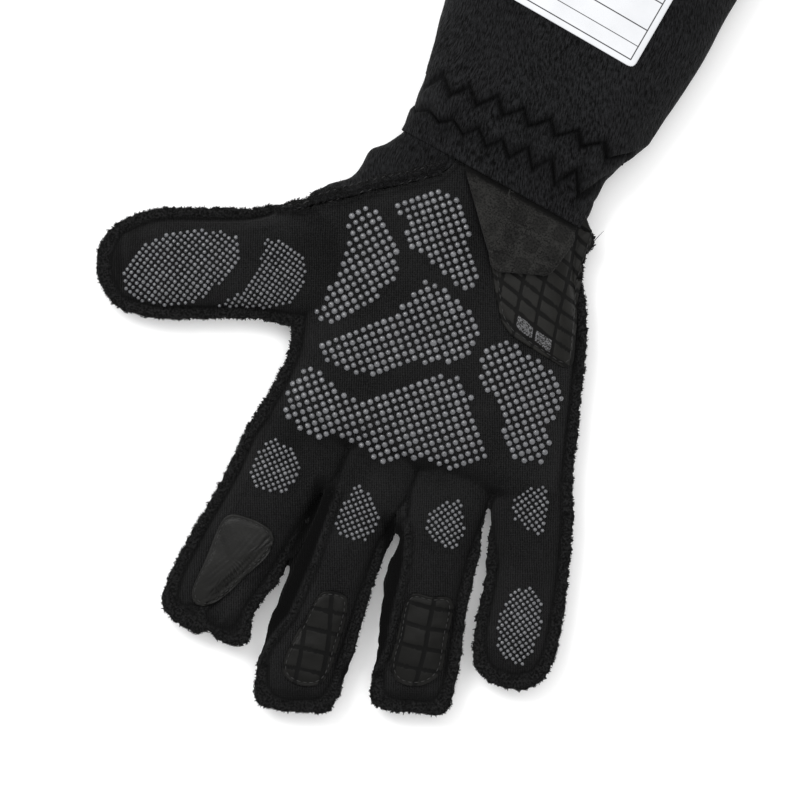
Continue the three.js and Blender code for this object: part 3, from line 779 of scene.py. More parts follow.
# Seams that lie inboard on the left side of two fingers: the line of the seam
INBOARD = {
    "middle": [(-28, -36), (-26.9, -45), (-27.2, -58), (-27.3, -68), (-28.2, -80), (-29.1, -89), (-31.4, -95),
               (-33.7, -101), (-34.6, -108)],
    "ring": [(-3, -41), (1.4, -51), (3.4, -59), (4.5, -69), (5.2, -81), (5.6, -89), (4.6, -97), (2, -102)],
}
# The tops of the slits between the fingers
SLITS = [
    [(24.1, -30.0), (24.1, -38.0), (25.9, -46.6), (26.7, -50.7), (29.1, -53.1), (30.3, -52.2), (28.7, -43.9),
     (27.3, -37.4), (25.3, -31.6)],
    [(-3.2, -42.5), (-3.4, -49.0), (-3.9, -54.7), (-4.4, -58.8), (-2.9, -62.0), (-2.5, -60.8), (-1.3, -54.3),
     (-1.9, -48.5), (-2.6, -43.4)],
    [(-36.4, -68.1), (-36.9, -74.5), (-37.7, -80.0), (-40.3, -84.5), (-35.9, -84.2), (-34.9, -78.3),
     (-34.8, -74.2), (-35.4, -67.8)],
]
# A lobe of the raw edge beside the index fingertip: place, radius and how far it stands out
THUMB_SIDE_LOBE = (-46.8, -98.6, 4.6, 0.9, -3.4, -0.8)
# Where the outline stands out or in from the solid's: place, radius and how far
OUTSTANDING = [
    (-83.3, 46.3, 6.5, 0.8, -2.5), (-74.1, 51.4, 4.0, 0.3, -1.0),
    (-66.2, 56.5, 7.0, -1.0, 1.3), (-58.2, 65.7, 6.0, 1.2, -1.6), (-52.8, 74.1, 4.2, -1.4, 1.3),
    (29.6, 68.0, 4.2, 3.6, 1.1), (-129.0, 25.4, 8.0, 0.5, -1.6), (-13.0, -119.0, 7.0, -0.5, 1.6),
    (-5.5, -114.4, 4.0, -0.7, 1.0), (-35.3, -114.5, 7.0, 0.9, 0.3), (2.4, -91.2, 9.0, 1.2, 0.3),
    (21.5, -108.2, 6.0, -0.3, 1.0), (33.3, -98.1, 6.0, -0.9, 0.3), (-42.0, -101.5, 4.5, 1.8, -0.6),
    (-50.5, -105.1, 3.5, -0.4, 1.2), (-40.5, -90.4, 6.5, -1.3, 0.6),
]


def polyline_sides(points, line):
    """Distance of points from a line in plan, and on which side they lie (1 is left of it)."""
    line = np.array(line, float)
    best = np.full(len(points), 1e9)
    side = np.zeros(len(points))
    for start, end in zip(line[:-1], line[1:]):
        span = end - start
        off = points[:, :2] - start
        share = np.clip((off @ span) / (span @ span), 0, 1)
        away = np.linalg.norm(off - share[:, None] * span, axis=1)
        turn = span[0] * off[:, 1] - span[1] * off[:, 0]
        side = np.where(away < best, np.sign(turn), side)
        best = np.minimum(best, away)
    return best, side


def past_cuff(points):
    """How far points in plan lie under the cuff, from its front edge."""
    x, y, turn = CUFF_ROWS[0][:3]
    turn = math.radians(turn)
    return (points[:, 0] - x) * math.sin(turn) + (points[:, 1] - y) * math.cos(turn)


def inboard_seams(points, seen, pile):
    """The raw edge, the shade and the lift of the seams that lie inboard on two fingers."""
    shadow, lift = np.zeros((2, len(points)))
    upper = (points[:, 2] > SEAM_Z) & seen
    for line in INBOARD.values():
        away, side = polyline_sides(points, line)
        here = upper * smoothstep(line[0][1], line[0][1] - 8, points[:, 1])
        beyond = smoothstep(10, 8, away) * (side < 0) * here
        welt = smoothstep(1.1, 0.6, away) * here
        pile = np.maximum(pile * ~((away < 9) & (side < 0) & upper), welt)
        shadow = np.maximum(shadow, smoothstep(1.0, 1.8, away) * beyond)
        shadow = np.maximum(shadow, 0.7 * ridge(away, 1.7, 0.5) * here)
        lift += 0.8 * welt - 0.8 * smoothstep(0.8, 3.5, away) * beyond
    return pile, shadow, lift


def edge_shades(points, seen_above, is_palm):
    """The shade under the tab's edge and along the cuff's front edge."""
    away, _ = polyline_sides(points, TAB[1:4])
    under_tab = ridge(away, 0, 1.0) * is_palm
    under_cuff = smoothstep(-2.0, -0.6, past_cuff(points)) * smoothstep(-30, -25, points[:, 0])
    return 0.9 * seen_above * np.maximum(under_tab, under_cuff * (points[:, 2] > 12))


def wrinkles(points, wrinkle):
    """How far wrinkles and folds lift the cloth of the palm and the back."""
    plan, height = points[:, :2], points[:, 2]
    top = smoothstep(SEAM_Z + 0.5, SEAM_Z + 4, height)
    lift = wrinkle * layers(plan, (0.6, 22, 1), (0.45, 9.5, 2), (0.2, 4.5, 3))
    lift += sum(fold[-1] * fold_line(points, *fold[:-1]) for fold in FOLDS)
    under = smoothstep(SEAM_Z - 3, 0.5, height) * smoothstep(SEAM_Z, 6, height)
    wave = layers(plan, (1, 16, 4), (0.6, 7, 5)) + 0.7
    return lift * top + 0.55 * wrinkle * np.clip(wave, 0, None) * under


def shape_hand_cloth(pieces, wrinkle, fuzz):
    """Wrinkles the panels, sinks the seam and roughens the raw edges that stand out of it."""
    surface = surface_of(*pieces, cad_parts["cuff"])
    hidden = {piece.name: hidden_inside(piece, surface) for piece in pieces}
    inner = np.concatenate([coordinates(p)[hidden[p.name]] for p in pieces])
    inner = inner[np.abs(inner[:, 2] - SEAM_Z) > 0.9]
    chains = rim_of("palm_panel")
    for piece in pieces:
        points, facing, seen = coordinates(piece), normals(piece), ~hidden[piece.name]
        reach = distance_to(points, inner)
        points = rounded(points, chains)
        band, _ = polyline_sides(points, np.array(WRIST_SEAM) + 2.1 * SEAM_AIM)
        band = smoothstep(3.1, 2.3, band) * (points[:, 2] > SEAM_Z + 1.5) * (facing[:, 2] > 0)
        pile = np.maximum(smoothstep(1.9, 2.9, reach), band)
        pile, shadow, lift = inboard_seams(points, seen, pile)
        points[:, 2] += lift
        shades = edge_shades(points, (facing[:, 2] > 0) & seen, piece.name == "palm_cloth")
        groove = ridge(reach, 2.1, 0.5) * (facing[:, 2] > 0.2) * seen
        lift = wrinkles(points, wrinkle) - 0.45 * groove * smoothstep(14, 10, points[:, 2])
        lift *= smoothstep(1, -7, past_cuff(points))
        points[:, 2] += lift + 0.35 * band * smoothstep(1, -4, past_cuff(points))
        rough = fuzz * layers(points, (0.55, 2.6, 6), (0.7, 1.5, 7), (0.4, 0.95, 8))
        waver = layers(points[:, :2], (0.35, 11, 9)) * (np.abs(facing[:, 2]) < 0.6)
        outward = (rough + waver) * pile + layers(points, (0.07, 1.3, 10)) * seen
        points += facing * outward[:, None]
        x, y, radius, *move = THUMB_SIDE_LOBE
        points += (bump_at(points, x, y, radius) * pile)[:, None] * np.array(move)
        for x, y, radius, *move in OUTSTANDING:
            points[:, :2] += bump_at(points, x, y, radius)[:, None] * np.array(move)
        points[:, 2] = np.maximum(points[:, 2], LOWEST_CLOTH)
        set_shape(piece, to_frame(points))
        store(piece, "pile", pile * seen)
        # Painted shade: the seam groove, the side walls of the inboard seams and the cloth under the tab's
        # and the cuff's edges are stored here to be coloured nearly black
        store(piece, "crease", np.maximum(0.75 * groove, 0.95 * np.maximum(shadow, shades)))


# Cuff


def walked(line):
    """How far along a line in plan each of its points is."""
    return np.r_[0, np.cumsum(np.hypot(*np.diff(line, axis=0).T))]


def evenly(line, count, closed=True):
    """Points at even steps along a line in plan."""
    line = np.array(line, float)
    if closed:
        line = np.r_[line, line[:1]]
    passed = walked(line)
    even = np.linspace(0, passed[-1], count, endpoint=not closed)
    return np.c_[np.interp(even, passed, line[:, 0]), np.interp(even, passed, line[:, 1])]


def cuff_station(at):
    """Centre, turn, half width, top and underside of the cuff's inner wall at a distance."""
    rows = np.array(CUFF_ROWS)
    return [np.interp(at, walked(rows[:, :2]), column) for column in rows.T]


def cuff_ring(half, top, floor):
    """A cross-section with even steps, from its lower left corner round under, up and back."""
    angle = np.linspace(0, math.pi, 65)
    across = np.sign(np.cos(angle)) * np.abs(np.cos(angle)) ** (2 / CUFF_CROWN)
    rise = np.sin(angle) ** (2 / CUFF_CROWN)
    belly = [(-0.97, 0.5), (-0.92, 0.84), (-0.8, 1), (0.8, 1), (0.92, 0.84), (0.97, 0.5)]
    ring = [(half * x, SEAM_Z - (SEAM_Z - floor) * depth) for x, depth in belly]
    ring += list(zip(half * across, SEAM_Z + (top - SEAM_Z) * rise))
    return evenly(ring, COLUMNS)


def cuff_skin(distances, lift):
    """Points of the cuff at rows of distances, where lift gives how far each point stands off."""
    grid = np.empty((len(distances), COLUMNS, 3))
    for row, at in enumerate(distances):
        x, y, turn, half, top, floor = cuff_station(at)
        offset = lift(COLUMN_TURNS, np.full(COLUMNS, at))
        base = cuff_ring(half, top, floor)
        before, after = np.roll(base, 1, 0), np.roll(base, -1, 0)
        out = np.c_[after[:, 1] - before[:, 1], before[:, 0] - after[:, 0]]
        out /= np.linalg.norm(out, axis=1, keepdims=True)
        for _ in range(6):
            out = (np.roll(out, 1, 0) + out + np.roll(out, -1, 0)) / 3
        ring = base + out * offset[:, None]
        heading = math.radians(-turn)
        across = ring[:, :1] * np.array([math.cos(heading), math.sin(heading)])
        grid[row] = np.c_[across + (x, y), ring[:, 1]]
    for _ in range(3):
        grid[1:-1] = (grid[:-2] + 2 * grid[1:-1] + grid[2:]) / 4
    return grid


def zigzag(turns, row):
    """Distance of a gathering row from the cuff's front, round the cuff."""
    wave = np.abs((turns / 2) % 1 - 0.5) * 4 - 1
    sway = layers(np.c_[turns, np.full_like(turns, row)], (0.7, 5.3, 21), (0.5, 1.7, 20))
    return GATHER_ROWS[row] - SWING / 2 * wave + sway


def flanks(turns):
    """1 on the cuff's top and underside, less at its two sides, where the gathers fade."""
    return 1 - sum(0.85 * ridge(turns / TURNS, side, 0.04) for side in (-0.03, 0.455, 0.97))


def gathered(turns, at, width):
    """1 on the two zigzag lines of stitching and 0 away from them."""
    return sum(np.exp(-((np.abs(at - zigzag(turns, row)) * 0.72 / width) ** 1.5)) for row in (0, 1))


def on_gather(turn, row):
    """A place on a gathering row, followed by the cuff's middle there."""
    at = zigzag(np.array([turn]), row)[0]
    ring = cuff_skin([at], cuff_relief)[0]
    spot = turn / TURNS * COLUMNS
    i, share = int(spot) % COLUMNS, spot % 1
    x, y = cuff_station(at)[:2]
    return [*(ring[i] * (1 - share) + ring[(i + 1) % COLUMNS] * share), x, y, SEAM_Z + 2]


def cuff_relief(turns, at):
    """How far the cuff's outer face stands off its inner wall."""
    first, second = zigzag(turns, 0), zigzag(turns, 1)
    share = np.clip((at - first) / (second - first), 0, 1)
    between = np.sin(math.pi * share) ** 0.55
    before = ridge(first - at, 2.4, 2.9) * (at < first)
    after = ridge(at - second, 2.4, 4.6) * (at > second)
    spot = np.c_[turns * 3.0, at]
    lumps = 0.75 + layers(spot, (0.45, 6.5, 22))
    puffs = (2.8 * between + 2.0 * before + 2.8 * after) * lumps
    relief = (puffs - 1.3 * gathered(turns, at, 0.95)) * flanks(turns)
    pleats = np.cos(math.pi * turns + layers(spot, (0.8, 9, 26))) * np.exp(-np.abs(at - 33) / 9)
    relief += 0.55 * pleats * smoothstep(26, 30, at)
    broad = 0.9 * layers(spot, (0.9, 30, 23), (0.5, 13, 24), (0.18, 5, 25))
    relief += broad * smoothstep(18, 45, at) * smoothstep(112, 100, at)
    relief += 0.6 * smoothstep(HEM_FROM - 0.6, HEM_FROM + 0.4, at) - 0.5 * ridge(at, HEM_FROM + 1.2, 0.6)
    relief += layers(spot, (0.1, 1.8, 27))
    # The front edge lies flat on the hand at the thumb's side
    turn = turns / TURNS
    flat = smoothstep(0.74, 0.8, turn) * smoothstep(8, 1, at)
    raised = smoothstep(0.48, 0.54, turn) * smoothstep(0.8, 0.72, turn) * smoothstep(3.5, 0, at)
    return CUFF_WALL + relief - flat * (relief + CUFF_WALL - 0.5) + raised


def build_cuff(fine, step):
    """The cuff's cloth: an outer skin with gathers and folds, and a plain inner one."""
    last = CUFF_LENGTH - 0.25
    outer_rows = np.r_[0.25, np.arange(0.5, 34, fine), np.arange(34, last - 0.05, step), last]
    outer = cuff_skin(outer_rows, cuff_relief)
    lips = [cuff_skin([at], lambda *spot: cuff_relief(*spot) * 0.55)[0] for at in (0, CUFF_LENGTH)]
    inner_rows = np.r_[np.arange(CUFF_LENGTH, 0, -4 * step), 0.0]
    inner = cuff_skin(inner_rows, lambda *spot: layers(np.c_[spot], (0.12, 4, 28)))
    inner[-1] += (outer[0] - inner[-1]) * 0.1
    rings = [lips[0], *outer, lips[1], *inner]
    points = np.concatenate(rings)
    points[:, 2] = np.maximum(points[:, 2], LOWEST_CUFF)
    piece = new_piece("cuff_cloth", points, band_faces(len(rings), COLUMNS, wrap=True))
    # Painted shade down the zigzag valleys of the gathers, painted stronger on one side of each tooth, its
    # shadow side
    crease = np.zeros((len(rings), COLUMNS))
    shadow_side = np.where((COLUMN_TURNS / 2) % 1 < 0.5, 1.0, 0.8)
    for row, at in enumerate(outer_rows, start=1):
        narrow, wide = (gathered(COLUMN_TURNS, at, width) for width in (0.8, 2.2))
        crease[row] = np.clip((0.75 * narrow + 0.35 * wide) * shadow_side, 0, 1)
    store(piece, "crease", (crease * flanks(COLUMN_TURNS) ** 0.5).ravel())
    return piece


# Patches


def smooth_curve(corners, count):
    """Even points on a closed curve through the corners."""
    p = np.array(corners, float)
    rows = []
    for i in range(len(p)):
        a, b, c, d = (p[(i + k) % len(p)] for k in (-1, 0, 1, 2))
        t = np.linspace(0, 1, 24, endpoint=False)[:, None]
        bend, twist = 2 * a - 5 * b + 4 * c - d, 3 * b - a - 3 * c + d
        rows.append(0.5 * (2 * b + (c - a) * t + bend * t**2 + twist * t**3))
    return evenly(np.concatenate(rows), count)


def rounded_outline(corners, radius, count):
    """Even points on straight sides whose corners are rounded."""
    p = np.array(corners, float)
    rows = []
    for i in range(len(p)):
        back, here, on = p[i - 1], p[i], p[(i + 1) % len(p)]
        sides = [(other - here, np.linalg.norm(other - here)) for other in (back, on)]
        cut = min(radius, *(0.45 * length for _, length in sides))
        start, end = (here + side / length * cut for side, length in sides)
        t = np.linspace(0, 1, 7)[:, None]
        rows.append((1 - t) ** 2 * start + 2 * t * (1 - t) * here + t**2 * end)
    return evenly(np.concatenate(rows), count)


def inset(outline, by):
    """An outline moved towards its middle by a distance."""
    middle = outline.mean(0)
    spokes = outline - middle
    return middle + spokes * (1 - by / np.linalg.norm(spokes, axis=1, keepdims=True))


def plan_area(outline):
    """The area in an outline, positive where it runs anticlockwise."""
    return np.sum(np.cross(outline, np.roll(outline, -1, 0))) / 2


def patch_plan(outline, rows):
    """Plan points in rings from the edge of a patch to its middle, and how far in each one is."""
    middle = outline.mean(0)
    count = len(outline)
    last = inset(outline, BORDER[-1])
    shares = np.linspace(1, 0, rows + 1)[1:-1]
    rings = [inset(outline, distance) for distance in BORDER]
    rings += [middle + (last - middle) * share for share in shares]
    inward = [*BORDER, *(BORDER[-1] + 1.0 + 2 * k for k in range(rows - 1))]
    return np.concatenate([*rings, middle[None]]), np.r_[np.repeat(inward, count), BORDER[-1] + 2 * rows]


def build_patch(name, outline, rows, surface, off, thick, relief=None):
    """A sheet that follows a surface at a distance, with a rounded edge and its own relief."""
    count = len(outline)
    plan, inward = patch_plan(outline, rows)
    spots, facing = dropped(surface, plan)
    for _ in range(8):
        for field in (facing, spots[:, 2:3]):
            body = field[:-1].reshape(-1, count, field.shape[1]).copy()
            soft = (np.roll(body, 1, 1) + 2 * body + np.roll(body, -1, 1)) / 4
            soft[1:-1] = (soft[:-2] + 2 * soft[1:-1] + soft[2:]) / 4
            field[:-1] = soft.reshape(-1, field.shape[1])
            field[-1] = soft[-1].mean(0)
    facing /= np.linalg.norm(facing, axis=1, keepdims=True)
    rim = np.sqrt(np.clip(1 - (1 - np.clip(inward / EDGE_ROUND, 0, 1)) ** 2, 0, 1))
    height = off + thick * (0.35 + 0.65 * rim)
    if relief is not None:
        height = height + relief(plan, inward)
    top = spots + facing * height[:, None]
    low = spots + facing * np.minimum(off, height - 0.2)[:, None]
    total = len(plan)
    faces = band_faces((total - 1) // count, count)
    last = total - 1 - count
    faces += [(last + i, last + (i + 1) % count, total - 1) for i in range(count)]
    faces += [[corner + total for corner in face[:1] + face[:0:-1]] for face in faces]
    faces += [(i + total, (i + 1) % count + total, (i + 1) % count, i) for i in range(count)]
    piece = new_piece(name, np.concatenate([top, low]), faces)
    if plan_area(outline) < 0:
        piece.data.flip_normals()
    return piece, plan


def mark(piece, **marks):
    """Stores values of the plan points on a patch's upper and lower side."""
    for name, values in marks.items():
        store(piece, name, np.r_[values, values])


def turned(plan, angle):
    """Plan points in axes that are turned by an angle."""
    x, y = plan.T
    return x * math.cos(angle) + y * math.sin(angle), y * math.cos(angle) - x * math.sin(angle)


def printed_blocks(plan, turn, pitch, phase, width, skew=0.0, sway=0.5):
    """Blocks (1) and lines (0) of a wavering grid in plan, and each point's place in the grid."""
    x, y = turned(plan, math.radians(turn))
    u = (x + skew * y + sway * np.sin(y / 6.1 + 0.7)) / pitch[0] + phase[0]
    v = (y + sway * np.sin(x / 5.3)) / pitch[1] + phase[1]
    gaps = [np.abs(at % 1 - 0.5) * step for at, step in zip((u, v), pitch)]
    return smoothstep(width - 0.3, width + 0.3, np.minimum(*gaps)), np.round(u), np.round(v)


def crinkles(plan):
    """Folds and small pleats of the soft leather along its thumb side."""
    away, _ = polyline_sides(plan, [(-42.5, -69), (-48, -81), (-54, -91), (-60.5, -97)])
    folds = np.sin(away * 3.6 + layers(plan, (1.4, 9, 43))) * np.exp(-away / 3.2)
    along = plan @ np.array([0.55, 0.83])
    pleats = np.sin(along * 5.2 + layers(plan, (2, 2.5, 44))) * ridge(away, 4.2, 1.8)
    return 0.6 * folds + 0.5 * pleats


# Dots, threads and fibres


def dot_template():
    """One dot: the upper part of a ball with a blunt top, closed below."""
    dome = started(bpy.ops.mesh.primitive_uv_sphere_add, segments=8, ring_count=8, radius=0.5 * MM)
    edit_all(bpy.ops.mesh.bisect, plane_co=(0, 0, -0.1 * MM), plane_no=(0, 0, 1), clear_inner=True,
             use_fill=True)
    points = own_shape(dome)
    rise = points[:, 2]
    points[:, 2] = 0.5 * np.maximum(2 * rise, 0) ** 0.85 + np.minimum(rise, 0)
    set_shape(dome, points * MM)
    return dome


def dot_places(node, pitch, angle, rng):
    """Places in plan on a slightly uneven square grid that lie on a node."""
    field = surface_of(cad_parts[node])
    low, high = [(np.array(corner.xy) - ORIGIN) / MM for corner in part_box(node)]
    reach = int(np.linalg.norm(high - low) / pitch / 2) + 2
    steps = np.arange(-reach, reach + 1)
    grid = np.stack(np.meshgrid(steps, steps), axis=2).reshape(-1, 2)
    plan = (low + high) / 2 + pitch * np.stack(turned(grid, -angle), axis=1)
    plan += 0.025 * pitch * rng.standard_normal(plan.shape)
    plan += 0.25 * np.c_[cloth_noise(plan, 12, 31), cloth_noise(plan, 12, 32)]
    inside = [field.ray_cast(Vector((x, y, SKY)), DOWN)[0] is not None
              for x, y in to_frame(np.c_[plan, np.zeros(len(plan))])[:, :2]]
    return plan[inside]


def raw_edges(*names):
    """The places and normals of the pieces' vertices that lie on a raw edge."""
    rows = []
    for piece in (bpy.data.objects[name] for name in names):
        pile = np.empty(len(piece.data.vertices), np.float32)
        piece.data.attributes["pile"].data.foreach_get("value", pile)
        rows.append(np.c_[coordinates(piece), normals(piece)][pile > 0.7])
    return np.split(np.concatenate(rows), 2, axis=1)


def strand_template():
    """One tuft: a three-sided cone that bends over."""
    strand = started(bpy.ops.mesh.primitive_cone_add, vertices=3, radius1=0.5 * MM, radius2=0.28 * MM,
                     depth=MM, location=(0, 0, 0.5 * MM))
    bpy.ops.object.transform_apply(location=True)
    edit_all(bpy.ops.mesh.bisect, plane_co=(0, 0, 0.5 * MM), plane_no=(0, 0, 1))
    points = own_shape(strand)
    points[:, 0] += 1.3 * points[:, 2] ** 2
    set_shape(strand, points * MM)
    return strand


def stitch_template():
    """One stitch: a short thread along X whose ends dip into the cloth."""
    piece = started(bpy.ops.mesh.primitive_uv_sphere_add, segments=6, ring_count=6, radius=0.5 * MM)
    points = own_shape(piece)[:, [2, 1, 0]]
    points[:, 2] = -points[:, 2] - 1.1 * points[:, 0] ** 2
    set_shape(piece, points * MM)
    return piece


def sew(name, lines, surface, length, gap, thick, lift, template, slant=0.0):
    """Rows of stitches along lines in plan, lying on a surface."""
    starts, ends = [], []
    for line in lines:
        total = walked(line)[-1]
        count = max(int(total / (length + gap)), 2)
        half_length = total / count * length / (length + gap) / 2
        marks = evenly(line, count * 2 + 1, closed=False)
        for a, b in zip(marks[:-1:2], marks[1::2]):
            middle, along = (a + b) / 2, (b - a) / np.linalg.norm(b - a)
            half = along * half_length + slant * np.array([-along[1], along[0]])
            starts.append(middle - half)
            ends.append(middle + half)
    spots, facing = dropped(surface, np.array(starts + ends))
    first, second = np.split(spots, 2)
    up = facing[: len(first)] + facing[len(first):]
    along = second - first
    turns = frames_along(up, along)
    places = (first + second) / 2 + turns[:, :, 2] * lift
    scales = np.c_[np.linalg.norm(along, axis=1) * 1.05, np.full((len(along), 2), thick)]
    return stamp(name, template, places, turns, scales)


# Settings


def number(name, description, default, **more):
    return FloatProperty(name=name, description=description, default=default, **more)


def colour(name, description, red, green, blue):
    return FloatVectorProperty(name=name, description=description, subtype="COLOR", size=4,
                               default=(red, green, blue, 1.0))


class GloveCloth(bpy.types.PropertyGroup):
    """Sizes and colours of the knit."""

    voxel: number("Mesh size", "Step of the cloth's mesh in mm", 0.85, min=0.5)
    wrinkle: number("Wrinkles", "Height of soft wrinkles in mm", 0.55)
    fuzz: number("Fuzz", "Roughness of the raw seam edges in mm", 0.5)
    fibres: IntProperty(name="Fibres", description="Tufts and fibres on the seam edges", default=12000)
    wale: number("Wale", "Pitch of the knit's ribs in mm", 0.82)
    course: number("Course", "Pitch of the knit's rows in mm", 0.62)
    streak: number("Streak", "Length of the brushed fibres against their width", 5.0)
    knit: colour("Knit", "Colour of the palm", 0.0061, 0.0061, 0.0062)
    brushed: colour("Brushed knit", "Colour of the cuff", 0.0056, 0.0057, 0.0061)


class GlovePrint(bpy.types.PropertyGroup):
    """Sizes and colour of the grip prints."""

    height: number("Dot height", "Height of a dot in mm", 0.725)
    silicone: colour("Silicone", "Colour of the dots", 0.091, 0.093, 0.1)


class GlovePatches(bpy.types.PropertyGroup):
    """Sizes and colours of leather, tab and label."""

    leather_thick: number("Leather", "Thickness of the fingertips' leather in mm", 0.8)
    heel_thick: number("Heel leather", "Thickness of the heel patch in mm", 1.0)
    tab_thick: number("Tab", "Thickness of the tab's cloth in mm", 1.1)
    leather: colour("Leather colour", "Colour of the index patch", 0.0058, 0.0057, 0.0052)
    printed: colour("Printed leather colour", "Colour of the printed blocks", 0.004, 0.0039, 0.0035)
    tab: colour("Tab colour", "Colour of the tab", 0.0054, 0.0053, 0.005)
    label: colour("Label colour", "Colour of the label", 0.66, 0.67, 0.69)
    ink: colour("Ink", "Colour of the label's lines", 0.03, 0.03, 0.032)
    thread: colour("Thread", "Colour of the thread", 0.0085, 0.0084, 0.0082)


class GloveStage(bpy.types.PropertyGroup):
    """Camera, light and floor."""

    view: number("View", "Width that the camera sees in mm", 280.0)
    distance: number("Distance", "Height of the camera", 2.4, unit="LENGTH")
    key: number("Key light", "Power of the main light in W", 15.0)
    fill: number("Fill", "Brightness of the surroundings", 0.85)
    glow: number("Glow", "How much the floor shines, as a light table", 0.12)
    floor: colour("Floor", "Colour of the floor", 0.95, 0.95, 0.95)


# Operators


class GLOVE_OT_hand_cloth(bpy.types.Operator):
    """Make the knitted palm, back and forks"""

    bl_idname = "glove.hand_cloth"
    bl_label = "Hand Cloth"

    def execute(self, context):
        cloth = context.scene.glove_cloth
        pieces = [cloth_copy(node, cloth.voxel) for node in CLOTH]
        for piece in pieces:
            relaxed(piece, RELAX_ROUNDS)
        shape_hand_cloth(pieces, cloth.wrinkle, cloth.fuzz)
        knit = knit_finish(cloth.knit, cloth.wale, cloth.course)
        brushed = brushed_finish(cloth.brushed, cloth.streak)
        for node, piece in zip(CLOTH, pieces):
            finish_piece(piece, brushed if node == "back_panel" else knit, "knit", node)
        return {"FINISHED"}


class GLOVE_OT_cuff(bpy.types.Operator):
    """Make the gathered cuff"""

    bl_idname = "glove.cuff"
    bl_label = "Cuff"

    def execute(self, context):
        piece = build_cuff(0.5, 0.9)
        finish_piece(piece, bpy.data.materials["cuff_knit"], "brushed_knit", "cuff")
        return {"FINISHED"}


class GLOVE_OT_grip_prints(bpy.types.Operator):
    """Print the fields of silicone dots"""

    bl_idname = "glove.grip_prints"
    bl_label = "Grip Prints"

    def execute(self, context):
        prints = context.scene.glove_print
        dome = dot_template()
        palm = surface_of("palm_cloth")
        material = silicone_finish(prints.silicone)
        rng = np.random.default_rng(11)
        for node, pitch, turn, diameter in GRIPS:
            plan = dot_places(node, pitch, math.radians(turn), rng)
            spots, facing = dropped(palm, plan)
            turns = frames_along(facing, np.tile([1.0, 0.0, 0.0], (len(spots), 1)))
            size = diameter * (1 + 0.05 * rng.standard_normal(len(spots)))
            height = 2 * prints.height * (1 + 0.08 * rng.standard_normal(len(spots)))
            piece = stamp(node.replace("grip", "dots"), dome, spots, turns, np.c_[size, size, height])
            finish_piece(piece, material, "grip_silicone", node)
        bpy.data.objects.remove(dome)
        return {"FINISHED"}


class GLOVE_OT_tip_patches(bpy.types.Operator):
    """Make the leather patches of the fingertips"""

    bl_idname = "glove.tip_patches"
    bl_label = "Tip Patches"

    def execute(self, context):
        sizes = context.scene.glove_patches
        palm = surface_of("palm_cloth")
        finishes = {
            "leather": leather_finish(sizes.leather),
            "printed_leather": printed_finish(shade(sizes.printed, 1.1), "printed_leather_tips", 0.1),
        }
        thread = thread_finish(sizes.thread)
        template = stitch_template()
        for node, corners in TIP_PATCHES.items():
            outline = smooth_curve(corners, 150)
            turn = TIP_TURNS.get(node)

            def relief(plan, inward, turn=turn):
                base = layers(plan, (0.25, 7, 41), (0.12, 3, 42)) - 0.35 * ridge(inward, 1.3, 0.45)
                if turn is None:
                    return base + crinkles(plan)
                block = printed_blocks(plan, turn, TIP_BLOCK, TIP_BLOCK_START, 0.6)[0]
                return base + 0.14 * block * smoothstep(1.6, 2.4, inward)

            piece, plan = build_patch(node.replace("patch", "leather"), outline, 16, palm, PATCH_OFF,
                                      sizes.leather_thick, relief)
            if turn is not None:
                block = printed_blocks(plan, turn, TIP_BLOCK, TIP_BLOCK_START, 0.75)[0]
                mark(piece, print=block, silver=block * 0)
            slot = "leather" if turn is None else "printed_leather"
            finish_piece(piece, finishes[slot], slot, node)
            line = inset(outline, 1.3)
            sewn = sew(node.replace("patch", "stitches"), [np.r_[line, line[:1]]], surface_of(piece),
                       1.5, 0.7, STITCH_THICK, 0.1, template)
            finish_piece(sewn, thread, "leather")
        bpy.data.objects.remove(template)
        return {"FINISHED"}


class GLOVE_OT_heel_patch(bpy.types.Operator):
    """Make the printed patch on the heel of the hand"""

    bl_idname = "glove.heel_patch"
    bl_label = "Heel Patch"

    def execute(self, context):
        sizes = context.scene.glove_patches
        palm = surface_of("palm_cloth")
        outline = rounded_outline(HEEL_PATCH, 2.2, 300)

        def blocks(plan):
            return printed_blocks(plan, LOZENGE_TURN, LOZENGE, LOZENGE_START, 0.65, skew=0.5, sway=0.25)

        def relief(plan, inward):
            swell = layers(plan, (0.3, 14, 51)) - 0.3 * ridge(inward, 1.6, 0.5)
            return swell + 0.16 * blocks(plan)[0] * smoothstep(1.4, 2.4, inward)

        piece, plan = build_patch("heel_leather", outline, 34, palm, PATCH_OFF, sizes.heel_thick, relief)
        block, column, row = blocks(plan)
        mark(piece, print=block, silver=block * np.isin(column, SILVER_COLUMNS) * (row == SILVER_ROW))
        finish_piece(piece, printed_finish(shade(sizes.printed, 2.1), "printed_leather_heel", 0.16),
                     "printed_leather", "heel_patch")
        # The stitches end where the patch goes under the tab and the cuff
        line = inset(outline, 1.7)
        line = line[line[:, 1] < 76]
        start = int(np.argmax(np.linalg.norm(np.diff(line, axis=0), axis=1))) + 1
        line = np.roll(line, -start, axis=0)
        template = stitch_template()
        sewn = sew("heel_stitches", [line], surface_of(piece), 1.7, 0.8, STITCH_THICK, 0.1, template)
        finish_piece(sewn, bpy.data.materials["thread"], "printed_leather")
        bpy.data.objects.remove(template)
        return {"FINISHED"}


